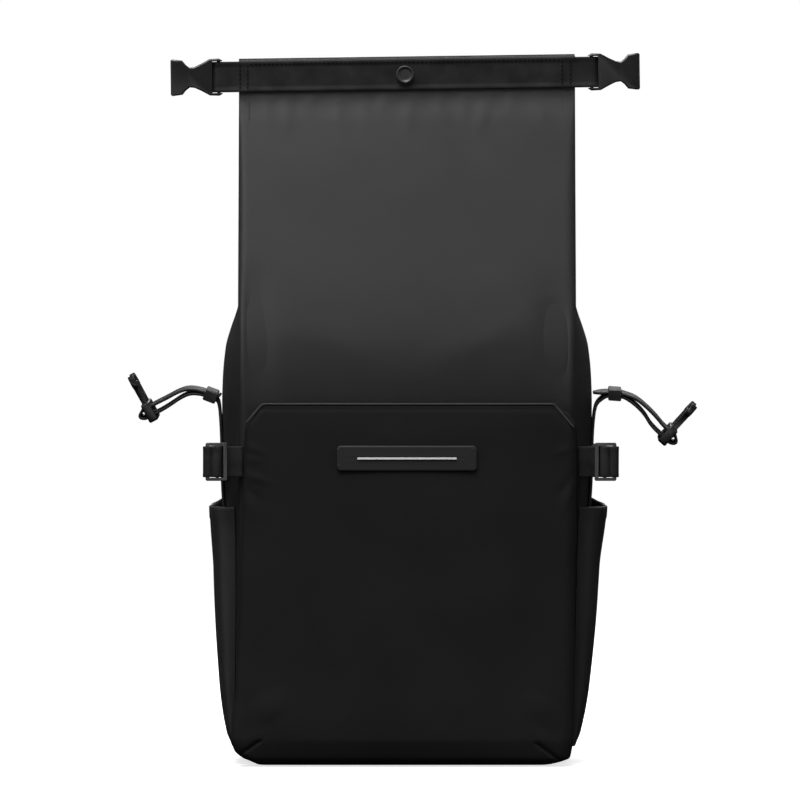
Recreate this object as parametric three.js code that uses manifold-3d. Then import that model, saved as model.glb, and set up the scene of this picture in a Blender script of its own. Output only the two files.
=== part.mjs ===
// Rolltop backpack, unrolled and standing by itself on its base.
// Millimetres, +Z up, front towards -Y. The origin is on the floor, under the middle of the main sack.
import * as THREE from "three";
import { mergeVertices } from "three/addons/utils/BufferGeometryUtils.js";
import Module from "manifold-3d";

// Main sack
const bagHeight = 594; // floor to the open mouth
const sackWidth = 284; // front face, seam to seam
const sackDepth = 106; // front face to back face
const sackCorner = 7; // radius of the soft upright corners
const clothWall = 1.6; // coated cloth
const floorWall = 2.4; // doubled cloth of the base
const mouthDepth = 12; // front to back across the flattened mouth
const mouthSetback = 11; // how far the mouth stands behind the middle of the sack
const mouthTilt = 0.8; // degrees, the right end of the mouth is the higher one
const settle = -3; // how far the base of the soft bag has settled to the left
const gap = 0.4; // clearance between pieces that lie on each other

// Front pocket, a padded panel with a slot at its top
const pocketHeight = 304;
const pocketWidth = 284;
const pocketDepth = 27;
const pocketCorner = 10;
const padWall = 4;
const pocketSideWall = 2.2;
const pocketLift = 1.5; // its lower edge clears the floor by this

// Side pockets
const sidePocketHeight = 216;
const sidePocketReach = 22.5;
const sidePocketSpan = 88; // front seam to back seam
const sidePocketRise = 10; // how much higher its rim stands at the back seam than at the front

// Webbing
const webWidth = 26; // nominal 25 mm webbing with its soft edges
const webThick = 1.6;

// Band around the mouth
const bandDrop = 14; // middle of the band below the mouth
const bandReach = { left: 17, right: 14 }; // buckle bar beyond the edge of the sack
const hemRise = 1.6; // how far the rear hem stands above the mouth
const snapRadius = 7.6;
const snapHeight = 2.8;
const snapOffset = -1.7;

// Buckle bodies on the ends of the band
const buckleLength = 44.5;
const buckleHeight = 31.4;
const buckleThick = 9.5;
const buckleEdgeRound = 1;
const buckleBar = 3; // thickness of each bar that carries webbing
const buckleSlot = 4; // length of the slot for the webbing
const socketHeight = 22;
const socketThick = 5.6;
const socketLength = 31;

// Plugs on the roll straps
const plugBase = 17; // length of the base that the strap is laced through
const plugThick = 8;
const plugProng = 26; // length of the prongs beyond the base
const plugSlot = 3.6;

// Roll straps, webbing loops that stand out from the sides of the sack
const rollAnchorHeight = 312.5;
const rollTailHeight = 150; // where the loop's lower end is sewn, inside the side pocket
const rollLean = 5.5; // degrees, how far the loop in the air leans forwards about its keeper
const rollLeanStart = 1.4; // distance from the sack where the strap starts to lean
const rollLeanSpan = 2.2; // further out it leans in full
const keeperLength = 11;
const keeperWall = 1.9;
const keeperSlot = 5.2;

// Side straps with their sliders
const strapBelow = 49; // middle of the strap below the top of the front pocket
const sliderOut = { left: 8.4, right: 15 }; // slider beyond the seam of the front pocket
const sliderForward = 9; // slider in front of the sack's front face
const sliderLength = 18.4;
const sliderThick = 2.2;
const sliderRail = 2.6;

// Label patch
const labelWidth = 117;
const labelHeight = 21.2;
const labelThick = 1.6;
const labelBelow = 45.6; // middle of the label below the top of the front pocket
const stripeWidth = 83;
const stripeHeight = 1.6;
const stripeThick = 0.5;

// Back
const backPanelWidth = 208;
const backPanelHeight = 400;
const backPanelLift = 20;
const backPanelDepth = 13;
const shoulderWidth = 58;
const shoulderThick = 9;
const shoulderDrop = 262;
const shoulderSpread = 54; // how far a strap drifts outwards on its way down
const shoulderInset = 44; // upper end of a strap from the middle
const shoulderBow = 30; // how far a strap bows away from the back panel
const tailAnchorHeight = 30;
const adjusterLength = 26;
const adjusterThick = 4;
const handleSpan = 84;
const handleRise = 34;
const handleThick = 3;

const wasm = await Module();
wasm.setup();

const backpack = new THREE.Group();
const cloth = { color: 0x1d1d1e, roughness: 0.78, metalness: 0 };
const darkCloth = { color: 0x121213, roughness: 0.7, metalness: 0 };
const webbing = { color: 0x151516, roughness: 0.8, metalness: 0 };
const plastic = { color: 0x1b1b1c, roughness: 0.38, metalness: 0 };
const patch = { color: 0x161617, roughness: 0.55, metalness: 0 };
const reflective = { color: 0xc9c9c6, roughness: 0.35, metalness: 0 };
const padding = { color: 0x171718, roughness: 0.9, metalness: 0 };

const sideStrapHeight = pocketHeight - strapBelow;
const labelLevel = pocketHeight - labelBelow;

const mix = (from, to, share) => from + (to - from) * share;
const shareOf = (value, from, span) => Math.min(1, Math.max(0, (value - from) / span));
const point = (x, y, z) => new THREE.Vector3(x, y, z);

// The base of the soft bag has settled sideways, so every piece follows this curve.
function settled(geometry) {
  const place = geometry.attributes.position;
  for (let i = 0; i < place.count; i++) {
    const below = Math.max(0, 1 - place.getZ(i) / rollAnchorHeight);
    place.setX(i, place.getX(i) + settle * below * below);
  }
  return geometry;
}

function add(name, geometry, finish, parent = backpack) {
  const body = new THREE.Mesh(geometry, new THREE.MeshStandardMaterial(finish));
  geometry.computeVertexNormals();
  body.name = name;
  parent.add(body);
  return body;
}

// Six times the volume inside a set of triangles, negative when they face inwards.
function signedVolume(positions, faces) {
  const corner = (i) => point(...positions.slice(3 * i, 3 * i + 3));
  return faces.reduce((sum, [a, b, c]) => sum + corner(a).dot(corner(b).cross(corner(c))), 0);
}

// Joins rings of points into one closed body. A fan closes a round end, a strip closes a flat one.
function closedBody(rings, ends = "fan") {
  const size = rings[0].length;
  const positions = rings.flat().flatMap((p) => [p.x, p.y, p.z]);
  const faces = [];
  for (let r = 0; r + 1 < rings.length; r++)
    for (let i = 0; i < size; i++) {
      const a = r * size + i;
      const b = r * size + ((i + 1) % size);
      faces.push([a, b, b + size], [a, b + size, a + size]);
    }
  const closeEnd = (first, flip) => {
    const made = [];
    if (ends === "fan") {
      const middle = positions.length / 3;
      const sum = point(0, 0, 0);
      for (let i = 0; i < size; i++) sum.add(point(...positions.slice(3 * (first + i), 3 * (first + i) + 3)));
      sum.divideScalar(size);
      positions.push(sum.x, sum.y, sum.z);
      for (let i = 0; i < size; i++) made.push([middle, first + i, first + ((i + 1) % size)]);
    } else
      for (let i = 0; i + 1 < size / 2; i++) {
        const across = size - 1 - i;
        made.push([first + i, first + i + 1, first + across]);
        made.push([first + i + 1, first + across - 1, first + across]);
      }
    faces.push(...made.map((f) => (flip ? [f[0], f[2], f[1]] : f)));
  };
  closeEnd(0, true);
  closeEnd((rings.length - 1) * size, false);
  const turned = signedVolume(positions, faces) < 0;
  const geometry = new THREE.BufferGeometry();
  geometry.setAttribute("position", new THREE.Float32BufferAttribute(positions, 3));
  geometry.setIndex(faces.flatMap(([a, b, c]) => (turned ? [a, c, b] : [a, b, c])));
  return geometry;
}

// A geometry as a solid that can be cut and joined, and back again.
function solidOf(geometry) {
  const bare = geometry.clone();
  bare.deleteAttribute("normal");
  bare.deleteAttribute("uv");
  const merged = mergeVertices(bare, 1e-4);
  const corners = merged.index.array;
  const kept = [];
  for (let i = 0; i < corners.length; i += 3) {
    const [a, b, c] = corners.slice(i, i + 3);
    if (a !== b && b !== c && a !== c) kept.push(a, b, c);
  }
  return new wasm.Manifold(
    new wasm.Mesh({
      numProp: 3,
      vertProperties: merged.attributes.position.array,
      triVerts: new Uint32Array(kept),
    }),
  );
}

function geometryOf(solid) {
  const made = solid.getMesh();
  const geometry = new THREE.BufferGeometry();
  geometry.setAttribute("position", new THREE.Float32BufferAttribute(made.vertProperties, 3));
  geometry.setIndex(Array.from(made.triVerts));
  return geometry;
}

function joined(parts) {
  return geometryOf(parts.map(solidOf).reduce((all, next) => all.add(next)));
}

function cutBy(body, tools) {
  return geometryOf(tools.map(solidOf).reduce((all, next) => all.subtract(next), solidOf(body)));
}

const block = (x, y, z, at) => new THREE.BoxGeometry(x, y, z).translate(at.x, at.y, at.z);

// A flat moulded piece: its outline lies in X and Z, its thickness along Y.
function moulded(shape, thick, edge) {
  const made = new THREE.ExtrudeGeometry(shape, {
    depth: thick - 2 * edge,
    bevelEnabled: edge > 0,
    bevelSize: edge,
    bevelOffset: -edge,
    bevelThickness: edge,
    bevelSegments: 1,
    curveSegments: 3,
  });
  return made.translate(0, 0, edge - thick / 2).rotateX(Math.PI / 2);
}

// A rectangle with rounded corners, from its lower left corner.
function roundedRectangle(x, y, width, height, radius) {
  const shape = new THREE.Shape();
  const right = Math.PI / 2;
  shape.absarc(x + width - radius, y + radius, radius, -right, 0);
  shape.absarc(x + width - radius, y + height - radius, radius, 0, right);
  shape.absarc(x + radius, y + height - radius, radius, right, 2 * right);
  shape.absarc(x + radius, y + radius, radius, 2 * right, 3 * right);
  return shape;
}

// How much of its swell a side has at a depth: none at its two corners, all of it in the middle.
function swellShare(y, from, to) {
  return Math.sin(Math.PI * shareOf(y, from, to - from));
}

// One level of a cloth body, anticlockwise from above. swell pushes the sides out, a crown the faces.
const faceSteps = 6;
const sideSteps = 6;
const cornerSteps = 2;
function outline(level, sides) {
  const { left, right, front, back, frontRadius, backRadius, swell = 0, crown = 0, backCrown = 0 } = sides;
  const flat = [];
  const turn = Math.PI / 2;
  const corner = (x, y, radius, start) => {
    for (let k = 0; k <= cornerSteps; k++) {
      const angle = start + (k / cornerSteps) * turn;
      flat.push([x + radius * Math.cos(angle), y + radius * Math.sin(angle)]);
    }
  };
  const edge = (from, to, steps) => {
    for (let k = 1; k < steps; k++) {
      const share = k / steps;
      flat.push([mix(from[0], to[0], share), mix(from[1], to[1], share)]);
    }
  };
  const f = frontRadius;
  const b = backRadius;
  corner(left + f, front + f, f, 2 * turn);
  edge([left + f, front], [right - f, front], faceSteps);
  corner(right - f, front + f, f, 3 * turn);
  edge([right, front + f], [right, back - b], sideSteps);
  corner(right - b, back - b, b, 0);
  edge([right - b, back], [left + b, back], faceSteps);
  corner(left + b, back - b, b, turn);
  edge([left, back - b], [left, front + f], sideSteps);
  const middle = (left + right) / 2;
  const reach = (right - left) / 2;
  return flat.map(([x, y]) => {
    const deep = (y - front) / (back - front);
    const aside = (x - middle) / reach;
    const rounded = 1 - aside * aside;
    return point(
      x + aside * swell * swellShare(y, front + f, back - b),
      y - crown * rounded * (1 - deep) + backCrown * rounded * deep,
      level,
    );
  });
}

// Reads a table of levels between its rows. Its first column, up, is a share of the height.
function rowAt(rows, up) {
  const next = Math.max(1, rows.findIndex((row) => row.up >= up));
  const high = rows[next];
  const low = rows[next - 1];
  const share = shareOf(up, low.up, high.up - low.up);
  return Object.fromEntries(Object.keys(low).map((key) => [key, mix(low[key], high[key], share)]));
}

// A cloth vessel: outer levels upwards, over the rim, and inner levels down to its floor.
function vessel(rows, height, floor, ringOf) {
  const outer = rows.map((row) => ringOf(row, false));
  const hollow = rows.filter((row) => row.up * height > 2 * floor);
  const inner = [...hollow].reverse().map((row) => ringOf(row, true));
  inner.push(ringOf(rowAt(rows, floor / height), true));
  return closedBody([...outer, ...inner]);
}

// Sack levels. width and depth are shares of the full size, swell is a share of half the width,
// and frontIn and backIn say how far each face has come in towards the flattened mouth.
const sackRows = [
  { up: 0, width: 0.84, depth: 0.86, swell: 0, frontIn: 0, backIn: 0 },
  { up: 0.007, width: 0.9, depth: 0.93, swell: 0, frontIn: 0, backIn: 0 },
  { up: 0.014, width: 0.955, depth: 0.97, swell: 0, frontIn: 0, backIn: 0 },
  { up: 0.024, width: 0.985, depth: 0.99, swell: 0, frontIn: 0, backIn: 0 },
  { up: 0.045, width: 1, depth: 1, swell: 0.004, frontIn: 0, backIn: 0 },
  { up: 0.2, width: 1, depth: 1, swell: 0.02, frontIn: 0, backIn: 0 },
  { up: 0.3, width: 1, depth: 1, swell: 0.05, frontIn: 0, backIn: 0 },
  { up: 0.38, width: 1, depth: 1, swell: 0.085, frontIn: 0, backIn: 0 },
  { up: 0.51, width: 1, depth: 1, swell: 0.1, frontIn: 0, backIn: 0 },
  { up: 0.545, width: 1, depth: 1, swell: 0.096, frontIn: 0.01, backIn: 0 },
  { up: 0.59, width: 1, depth: 1, swell: 0.078, frontIn: 0.04, backIn: 0 },
  { up: 0.615, width: 1, depth: 1, swell: 0.05, frontIn: 0.07, backIn: 0 },
  { up: 0.637, width: 1, depth: 1, swell: 0.018, frontIn: 0.11, backIn: 0 },
  { up: 0.66, width: 1, depth: 1, swell: -0.01, frontIn: 0.16, backIn: 0 },
  { up: 0.71, width: 1, depth: 1, swell: -0.05, frontIn: 0.29, backIn: 0.05 },
  { up: 0.76, width: 1, depth: 1, swell: -0.09, frontIn: 0.43, backIn: 0.17 },
  { up: 0.81, width: 1, depth: 1, swell: -0.12, frontIn: 0.57, backIn: 0.36 },
  { up: 0.86, width: 1, depth: 1, swell: -0.12, frontIn: 0.72, backIn: 0.6 },
  { up: 0.91, width: 1, depth: 1, swell: -0.07, frontIn: 0.88, backIn: 0.86 },
  { up: 0.945, width: 1, depth: 1, swell: 0, frontIn: 1, backIn: 1 },
  { up: 1, width: 1, depth: 1, swell: 0, frontIn: 1, backIn: 1 },
];
const cornerShare = 0.12; // corners are never rounder than this share of the depth there
const tiltStart = 0.7; // below this share of the height the sack stands level
const tiltFull = 0.945; // above it the cloth is as tilted as the mouth
const mouthSlope = Math.tan(THREE.MathUtils.degToRad(mouthTilt));
const mouthFront = mouthSetback - mouthDepth / 2;
const mouthBack = mouthSetback + mouthDepth / 2;

function sackSides(row) {
  const reach = (sackWidth / 2) * row.width;
  const front = mix((-sackDepth / 2) * row.depth, mouthFront, row.frontIn);
  const back = mix((sackDepth / 2) * row.depth, mouthBack, row.backIn);
  const radius = Math.min(sackCorner, cornerShare * (back - front));
  return { left: -reach, right: reach, front, back, radius, swell: (sackWidth / 2) * row.swell };
}

function sackRing(row, inside) {
  const sides = sackSides(row);
  const inset = inside ? clothWall : 0;
  const radius = sides.radius - inset / 2;
  const level = Math.max(bagHeight * row.up, inside ? floorWall : 0);
  const tilted = shareOf(row.up, tiltStart, tiltFull - tiltStart) * mouthSlope;
  const ring = outline(level, {
    left: sides.left + inset,
    right: sides.right - inset,
    front: sides.front + inset,
    back: sides.back - inset,
    frontRadius: radius,
    backRadius: radius,
    swell: sides.swell,
  });
  return ring.map((p) => point(p.x, p.y, p.z + p.x * tilted));
}

// How far the side of the sack stands from the middle, at a height and a depth.
function sackSideAt(level, y) {
  const sides = sackSides(rowAt(sackRows, level / bagHeight));
  return sides.right + sides.swell * swellShare(y, sides.front + sides.radius, sides.back - sides.radius);
}

add("sack", settled(vessel(sackRows, bagHeight, floorWall, sackRing)), cloth);

// Front pocket levels: left and right are shares of half its width, depth and crown of its depth.
const pocketRows = [
  { up: 0, left: 0.85, right: 0.84, depth: 0.72, crown: 0.02 },
  { up: 0.014, left: 0.9, right: 0.935, depth: 0.86, crown: 0.05 },
  { up: 0.024, left: 0.95, right: 0.98, depth: 0.93, crown: 0.07 },
  { up: 0.045, left: 1, right: 0.99, depth: 0.97, crown: 0.1 },
  { up: 0.08, left: 1.02, right: 1, depth: 1, crown: 0.15 },
  { up: 0.2, left: 1, right: 1, depth: 1, crown: 0.2 },
  { up: 0.4, left: 0.985, right: 1, depth: 1, crown: 0.22 },
  { up: 0.62, left: 0.975, right: 1, depth: 0.95, crown: 0.2 },
  { up: 0.85, left: 0.96, right: 1.005, depth: 0.82, crown: 0.16 },
  { up: 0.93, left: 0.955, right: 1, depth: 0.75, crown: 0.14 },
  { up: 0.97, left: 0.915, right: 0.955, depth: 0.7, crown: 0.12 },
  { up: 1, left: 0.868, right: 0.89, depth: 0.66, crown: 0.1 },
];
const pocketBack = -sackDepth / 2 - gap;

function pocketRing(row, inside) {
  const reach = pocketWidth / 2;
  const front = pocketBack - pocketDepth * row.depth;
  return outline(Math.max(pocketHeight * row.up, pocketLift + (inside ? floorWall : 0)), {
    left: -reach * row.left + (inside ? pocketSideWall : 0),
    right: reach * row.right - (inside ? pocketSideWall : 0),
    front: front + (inside ? padWall : 0),
    back: pocketBack - (inside ? clothWall : 0),
    frontRadius: (pocketCorner - (inside ? padWall : 0)) * row.depth,
    backRadius: clothWall / 2,
    crown: pocketDepth * row.crown,
  });
}

// How far forward the pocket's face stands at a place on it, and how far out its side stands.
function pocketFaceAt(x, level) {
  const row = rowAt(pocketRows, level / pocketHeight);
  const reach = pocketWidth / 2;
  const middle = (reach * (row.right - row.left)) / 2;
  const aside = (x - middle) / ((reach * (row.right + row.left)) / 2);
  return pocketBack - pocketDepth * (row.depth + row.crown * (1 - aside * aside));
}
function pocketSideAt(side, level) {
  const row = rowAt(pocketRows, level / pocketHeight);
  return (pocketWidth / 2) * (side < 0 ? row.left : row.right);
}

add("front_pocket", settled(vessel(pocketRows, pocketHeight, floorWall, pocketRing)), darkCloth);

// Side pockets: a cloth wall curved out from the front seam to the back seam, with a small floor.
// left and right are shares of the reach, for the right pocket gapes more than the left one.
const sidePocketRows = [
  { up: 0.07, left: 0.21, right: 0.19 },
  { up: 0.124, left: 0.33, right: 0.3 },
  { up: 0.2, left: 0.48, right: 0.45 },
  { up: 0.31, left: 0.62, right: 0.6 },
  { up: 0.54, left: 0.78, right: 0.78 },
  { up: 0.78, left: 0.88, right: 0.9 },
  { up: 1, left: 0.95, right: 1.07 },
];
const sidePocketSteps = 12;
const sidePocketBoxiness = 0.55; // below 1 the curve turns towards a rounded box

function sidePocketRing(side, row, wall) {
  const span = sidePocketSpan / 2;
  const curve = (across, out, angle) => {
    const boxed = Math.abs(Math.sin(angle)) ** sidePocketBoxiness;
    const y = -across * Math.sign(Math.cos(angle)) * Math.abs(Math.cos(angle)) ** sidePocketBoxiness;
    const level = sidePocketHeight * row.up + (y > 0 ? sidePocketRise * row.up * (1 - boxed) : 0);
    const seam = sackSideAt(level, span - 2 * clothWall) + gap;
    return point(side * (seam + out * boxed), y, level);
  };
  const angles = Array.from({ length: sidePocketSteps + 1 }, (_, k) => (Math.PI * k) / sidePocketSteps);
  const out = sidePocketReach * (side < 0 ? row.left : row.right);
  const outer = angles.map((angle) => curve(span, out, angle));
  if (!wall) return outer;
  const inner = angles.map((angle) => curve(span - wall, out - wall, angle)).reverse();
  return [...outer, ...inner];
}

function sidePocket(side) {
  const walls = closedBody(sidePocketRows.map((row) => sidePocketRing(side, row, clothWall)), "strip");
  const low = sidePocketRows[0];
  const lid = { ...low, up: low.up + (2 * floorWall) / sidePocketHeight };
  const floor = closedBody([low, lid].map((row) => sidePocketRing(side, row, 0)));
  return settled(joined([walls, floor]));
}

const bothSides = Object.entries({ left: -1, right: 1 });
for (const [name, side] of bothSides) add("side_pocket_" + name, sidePocket(side), cloth);

// Webbing along a path. acrossAt gives the direction of its width at each point of the path.
function strap(path, acrossAt, width, thick) {
  const rings = path.map((here, i) => {
    const before = path[Math.max(0, i - 1)];
    const after = path[Math.min(path.length - 1, i + 1)];
    const along = after.clone().sub(before).normalize();
    const across = acrossAt(i);
    const side = across.clone().addScaledVector(along, -across.dot(along)).normalize();
    const up = along.clone().cross(side);
    const corner = (w, t) =>
      here
        .clone()
        .addScaledVector(side, (w * width) / 2)
        .addScaledVector(up, (t * thick) / 2);
    return [corner(-1, -1), corner(1, -1), corner(1, 1), corner(-1, 1)];
  });
  return closedBody(rings, "strip");
}

const curveThrough = (points) => new THREE.CatmullRomCurve3(points, false, "centripetal");
const smooth = (points, steps) => curveThrough(points).getPoints(points.length * steps);
const alongY = () => point(0, 1, 0);
const alongZ = () => point(0, 0, 1);

// Band around the mouth. It is one strip, folded round the bar of a buckle at each end.
const mouth = new THREE.Group();
mouth.position.set(0, 0, bagHeight - bandDrop);
mouth.rotation.y = -Math.atan(mouthSlope);
backpack.add(mouth);
const bandFace = mouthFront - gap - webThick / 2;
const wrap = (buckleBar / 2) * Math.SQRT2 + gap / 2 + webThick / 2; // clears the bar's corners
const barFace = bandFace + wrap;
const wrapSteps = 6;

function bandEnd(name, side) {
  const bar = sackWidth / 2 + bandReach[name];
  const turn = Array.from({ length: wrapSteps + 1 }, (_, k) => Math.PI * (1 / 2 - k / wrapSteps));
  const around = turn.map((a) => point(side * (bar + wrap * Math.cos(a)), barFace + wrap * Math.sin(a), 0));
  const tail = point(side * (sackWidth / 2 + gap), barFace + wrap, 0);
  return [tail, ...around];
}

const bandPath = [...bandEnd("right", 1), ...bandEnd("left", -1).reverse()];
add("mouth_band", strap(bandPath, alongZ, webWidth, webThick), webbing, mouth);

const hemHeight = bandDrop + webWidth / 2 + hemRise;
const hemAt = point(0, mouthBack + gap + webThick / 2, (bandDrop + hemRise) - hemHeight / 2);
add("rear_hem", block(sackWidth, webThick, hemHeight, hemAt), webbing, mouth);

// Snap: a dished cap with a raised ring, pressed through the band.
const snapProfile = [
  [0, 0],
  [0.94, 0],
  [1, 0.35],
  [0.97, 0.85],
  [0.88, 1],
  [0.76, 0.8],
  [0.66, 0.5],
  [0, 0.42],
].map(([out, up]) => new THREE.Vector2(out * snapRadius, up * snapHeight));
const snapSides = 20;
const snap = new THREE.LatheGeometry(snapProfile, snapSides).rotateX(Math.PI);
add("snap_cap", snap.translate(snapOffset, bandFace - webThick / 2 - gap, 0), plastic, mouth);

// Buckle body: wide at both ends, waisted where the prongs are pressed, hollow from its mouth.
const buckleEdge = [
  { along: 0.02, high: 0.9 },
  { along: 0.08, high: 1 },
  { along: 0.26, high: 0.98 },
  { along: 0.42, high: 0.73 },
  { along: 0.55, high: 0.56 },
  { along: 0.64, high: 0.53 },
  { along: 0.71, high: 0.68 },
  { along: 0.78, high: 0.92 },
  { along: 0.97, high: 0.99 },
  { along: 1, high: 0.92 },
];

const bucklePast = webThick + 2 * gap; // the arms reach this far past the bar

function buckleBody() {
  const upper = buckleEdge.map((row) => [row.along * buckleLength, (row.high * buckleHeight) / 2]);
  const lower = [...upper].reverse().map(([x, y]) => [x, -y]);
  const shape = new THREE.Shape([...lower, ...upper].reverse().map(([x, y]) => new THREE.Vector2(x, y)));
  const shell = moulded(shape, buckleThick, buckleEdgeRound);
  const slotHeight = webWidth + 2 * gap;
  const slotStart = bucklePast + buckleBar;
  const slot = block(buckleSlot, 2 * buckleThick, slotHeight, point(slotStart + buckleSlot / 2, 0, 0));
  const socketAt = point(buckleLength - socketLength / 2 + bucklePast / 2, 0, 0);
  const socket = block(socketLength + bucklePast, socketThick, socketHeight, socketAt);
  // The bar is thinner than the body and set in from the ends of its arms, so webbing folds round it.
  const relief = (face) => {
    const at = point(slotStart / 2, (face * (buckleThick + buckleBar)) / 2, 0);
    return block(slotStart + gap, buckleThick, slotHeight, at);
  };
  const end = block(2 * bucklePast, 2 * buckleThick, slotHeight, point(0, 0, 0));
  return cutBy(shell, [slot, socket, relief(-1), relief(1), end]);
}

for (const [name, side] of bothSides) {
  const body = add("buckle_body_" + name, buckleBody(), plastic, mouth);
  body.position.set(side * (sackWidth / 2 + bandReach[name] - buckleBar / 2 - bucklePast), barFace, 0);
  if (side < 0) body.rotation.z = Math.PI;
}

// Label patch: a flat patch bent to the face of the pocket, with a pale stripe on it.
function faceStrip(width, height, thick, radius, lift, steps) {
  const rings = [];
  for (let k = 0; k <= steps; k++) {
    const x = -width / 2 + (width * (1 - Math.cos((Math.PI * k) / steps))) / 2;
    const fromEnd = Math.min(radius, width / 2 - Math.abs(x));
    const high = height / 2 - radius + Math.sqrt(radius * radius - (radius - fromEnd) ** 2);
    const at = (rise, out) => {
      const level = labelLevel + rise;
      return point(x, pocketFaceAt(x, level) - lift - out, level);
    };
    rings.push([at(-high, 0), at(high, 0), at(high, thick), at(-high, thick)]);
  }
  return settled(closedBody(rings, "strip"));
}
const labelRadius = 3.4;
const stripeRadius = stripeHeight / 4;
const stripeLift = gap + labelThick + gap / 2;
const labelSteps = 16;
add("label_patch", faceStrip(labelWidth, labelHeight, labelThick, labelRadius, gap, labelSteps), patch);
const stripe = faceStrip(stripeWidth, stripeHeight, stripeThick, stripeRadius, stripeLift, labelSteps / 2);
add("label_stripe", stripe, reflective);

// Side straps. Each leaves the pocket's seam, is laced through its slider, and runs back round the sack.
// Columns: out from the slider's inner edge as a share of its length, back from its plane in millimetres.
const lacing = [
  { out: -0.22, back: 2.7 },
  { out: 0.1, back: 2.7 },
  { out: 0.27, back: 2 },
  { out: 0.31, back: -1.4 },
  { out: 0.47, back: -3.1 },
  { out: 0.6, back: -2.6 },
  { out: 0.69, back: -0.6 },
  { out: 0.79, back: -2.6 },
  { out: 0.92, back: -3.1 },
  { out: 1.06, back: -1.6 },
  { out: 1.07, back: 1.6 },
  { out: 0.96, back: 4.6 },
];
const sliderPlane = -sackDepth / 2 - sliderForward;
const sideLayers = webThick * 1.5 + 3 * gap; // it passes over the roll strap

// Round the gusset: y as a share of the sack's depth, slack is how far the strap stands off there.
const gussetRun = [
  { y: -0.36, slack: 8 },
  { y: -0.14, slack: 1 },
  { y: 0, slack: 0 },
  { y: 0.14, slack: 0 },
  { y: 0.34, slack: 0.6 },
  { y: 0.46, slack: 0 },
];

function sideStrapPath(side, sliderStart) {
  const seam = pocketSideAt(side, sideStrapHeight - webWidth / 2) + gap;
  const laced = lacing.map(({ out, back }) => [sliderStart + out * sliderLength, sliderPlane + back]);
  const round = gussetRun.map((row) => {
    const y = row.y * sackDepth;
    const crossing = Math.abs(y) < webWidth;
    const layers = crossing ? sideLayers : gap + webThick / 2;
    return [sackSideAt(sideStrapHeight, crossing ? 0 : y) + layers + row.slack, y];
  });
  const plan = [[seam, sliderPlane + lacing[0].back], ...laced, ...round];
  return smooth(plan.map(([x, y]) => point(side * x, y, sideStrapHeight)), 2);
}

// Slider: a frame with three bars that the strap is laced over.
const sliderSlots = [
  { from: 0.185, to: 0.395 },
  { from: 0.54, to: 0.825 },
];
const sliderRound = 1.6;
const sliderBevel = 0.4;

function slider() {
  const high = webWidth + 2 * gap;
  const rim = roundedRectangle(0, -high / 2 - sliderRail, sliderLength, high + 2 * sliderRail, sliderRound);
  const slots = sliderSlots.map(({ from, to }) => {
    const at = point(((from + to) / 2) * sliderLength, 0, 0);
    return block((to - from) * sliderLength, 3 * sliderThick, high, at);
  });
  return cutBy(moulded(rim, sliderThick, sliderBevel), slots);
}

for (const [name, side] of bothSides) {
  const start = pocketWidth / 2 + sliderOut[name];
  add("side_strap_" + name, settled(strap(sideStrapPath(side, start), alongZ, webWidth, webThick)), webbing);
  const frame = add("side_slider_" + name, slider(), plastic);
  frame.position.set(side * start, sliderPlane, sideStrapHeight);
  if (side < 0) frame.rotation.z = Math.PI;
}

// Roll straps. The tables give the two layers in the air, as shares of the reach of the plug.
// lean is the angle of the plug from upright, keeper the place and angle of the webbing keeper.
const rollStraps = {
  left: {
    side: -1,
    reach: 60.5,
    drop: -16.5,
    lean: 28.6,
    keeper: { out: 0.15, rise: -0.05, angle: 21 },
    upper: [
      { out: 0.32, rise: 0.028 },
      { out: 0.46, rise: 0.045 },
      { out: 0.6, rise: 0.005 },
      { out: 0.74, rise: -0.07 },
    ],
    lower: [
      { out: 0.72, rise: -0.18 },
      { out: 0.58, rise: -0.085 },
      { out: 0.44, rise: -0.02 },
      { out: 0.32, rise: -0.02 },
    ],
    inner: [{ out: 0.035, rise: -0.19 }],
  },
  right: {
    side: 1,
    reach: 63.8,
    drop: -36.3,
    lean: 42.2,
    keeper: { out: 0.3, rise: -0.03, angle: -4 },
    upper: [
      { out: 0.43, rise: -0.03 },
      { out: 0.56, rise: -0.075 },
      { out: 0.7, rise: -0.18 },
      { out: 0.85, rise: -0.33 },
    ],
    lower: [
      { out: 0.77, rise: -0.42 },
      { out: 0.69, rise: -0.29 },
      { out: 0.57, rise: -0.165 },
      { out: 0.45, rise: -0.08 },
    ],
    inner: [
      { out: 0.13, rise: -0.085 },
      { out: 0.05, rise: -0.17 },
    ],
  },
};
const layerSpread = (webThick + gap) * 0.65; // half the distance between the layers in the keeper
const keeperEnd = keeperLength * 0.55;
const slotUpper = plugBase * 0.71;
const slotLower = plugBase * 0.29;

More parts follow.
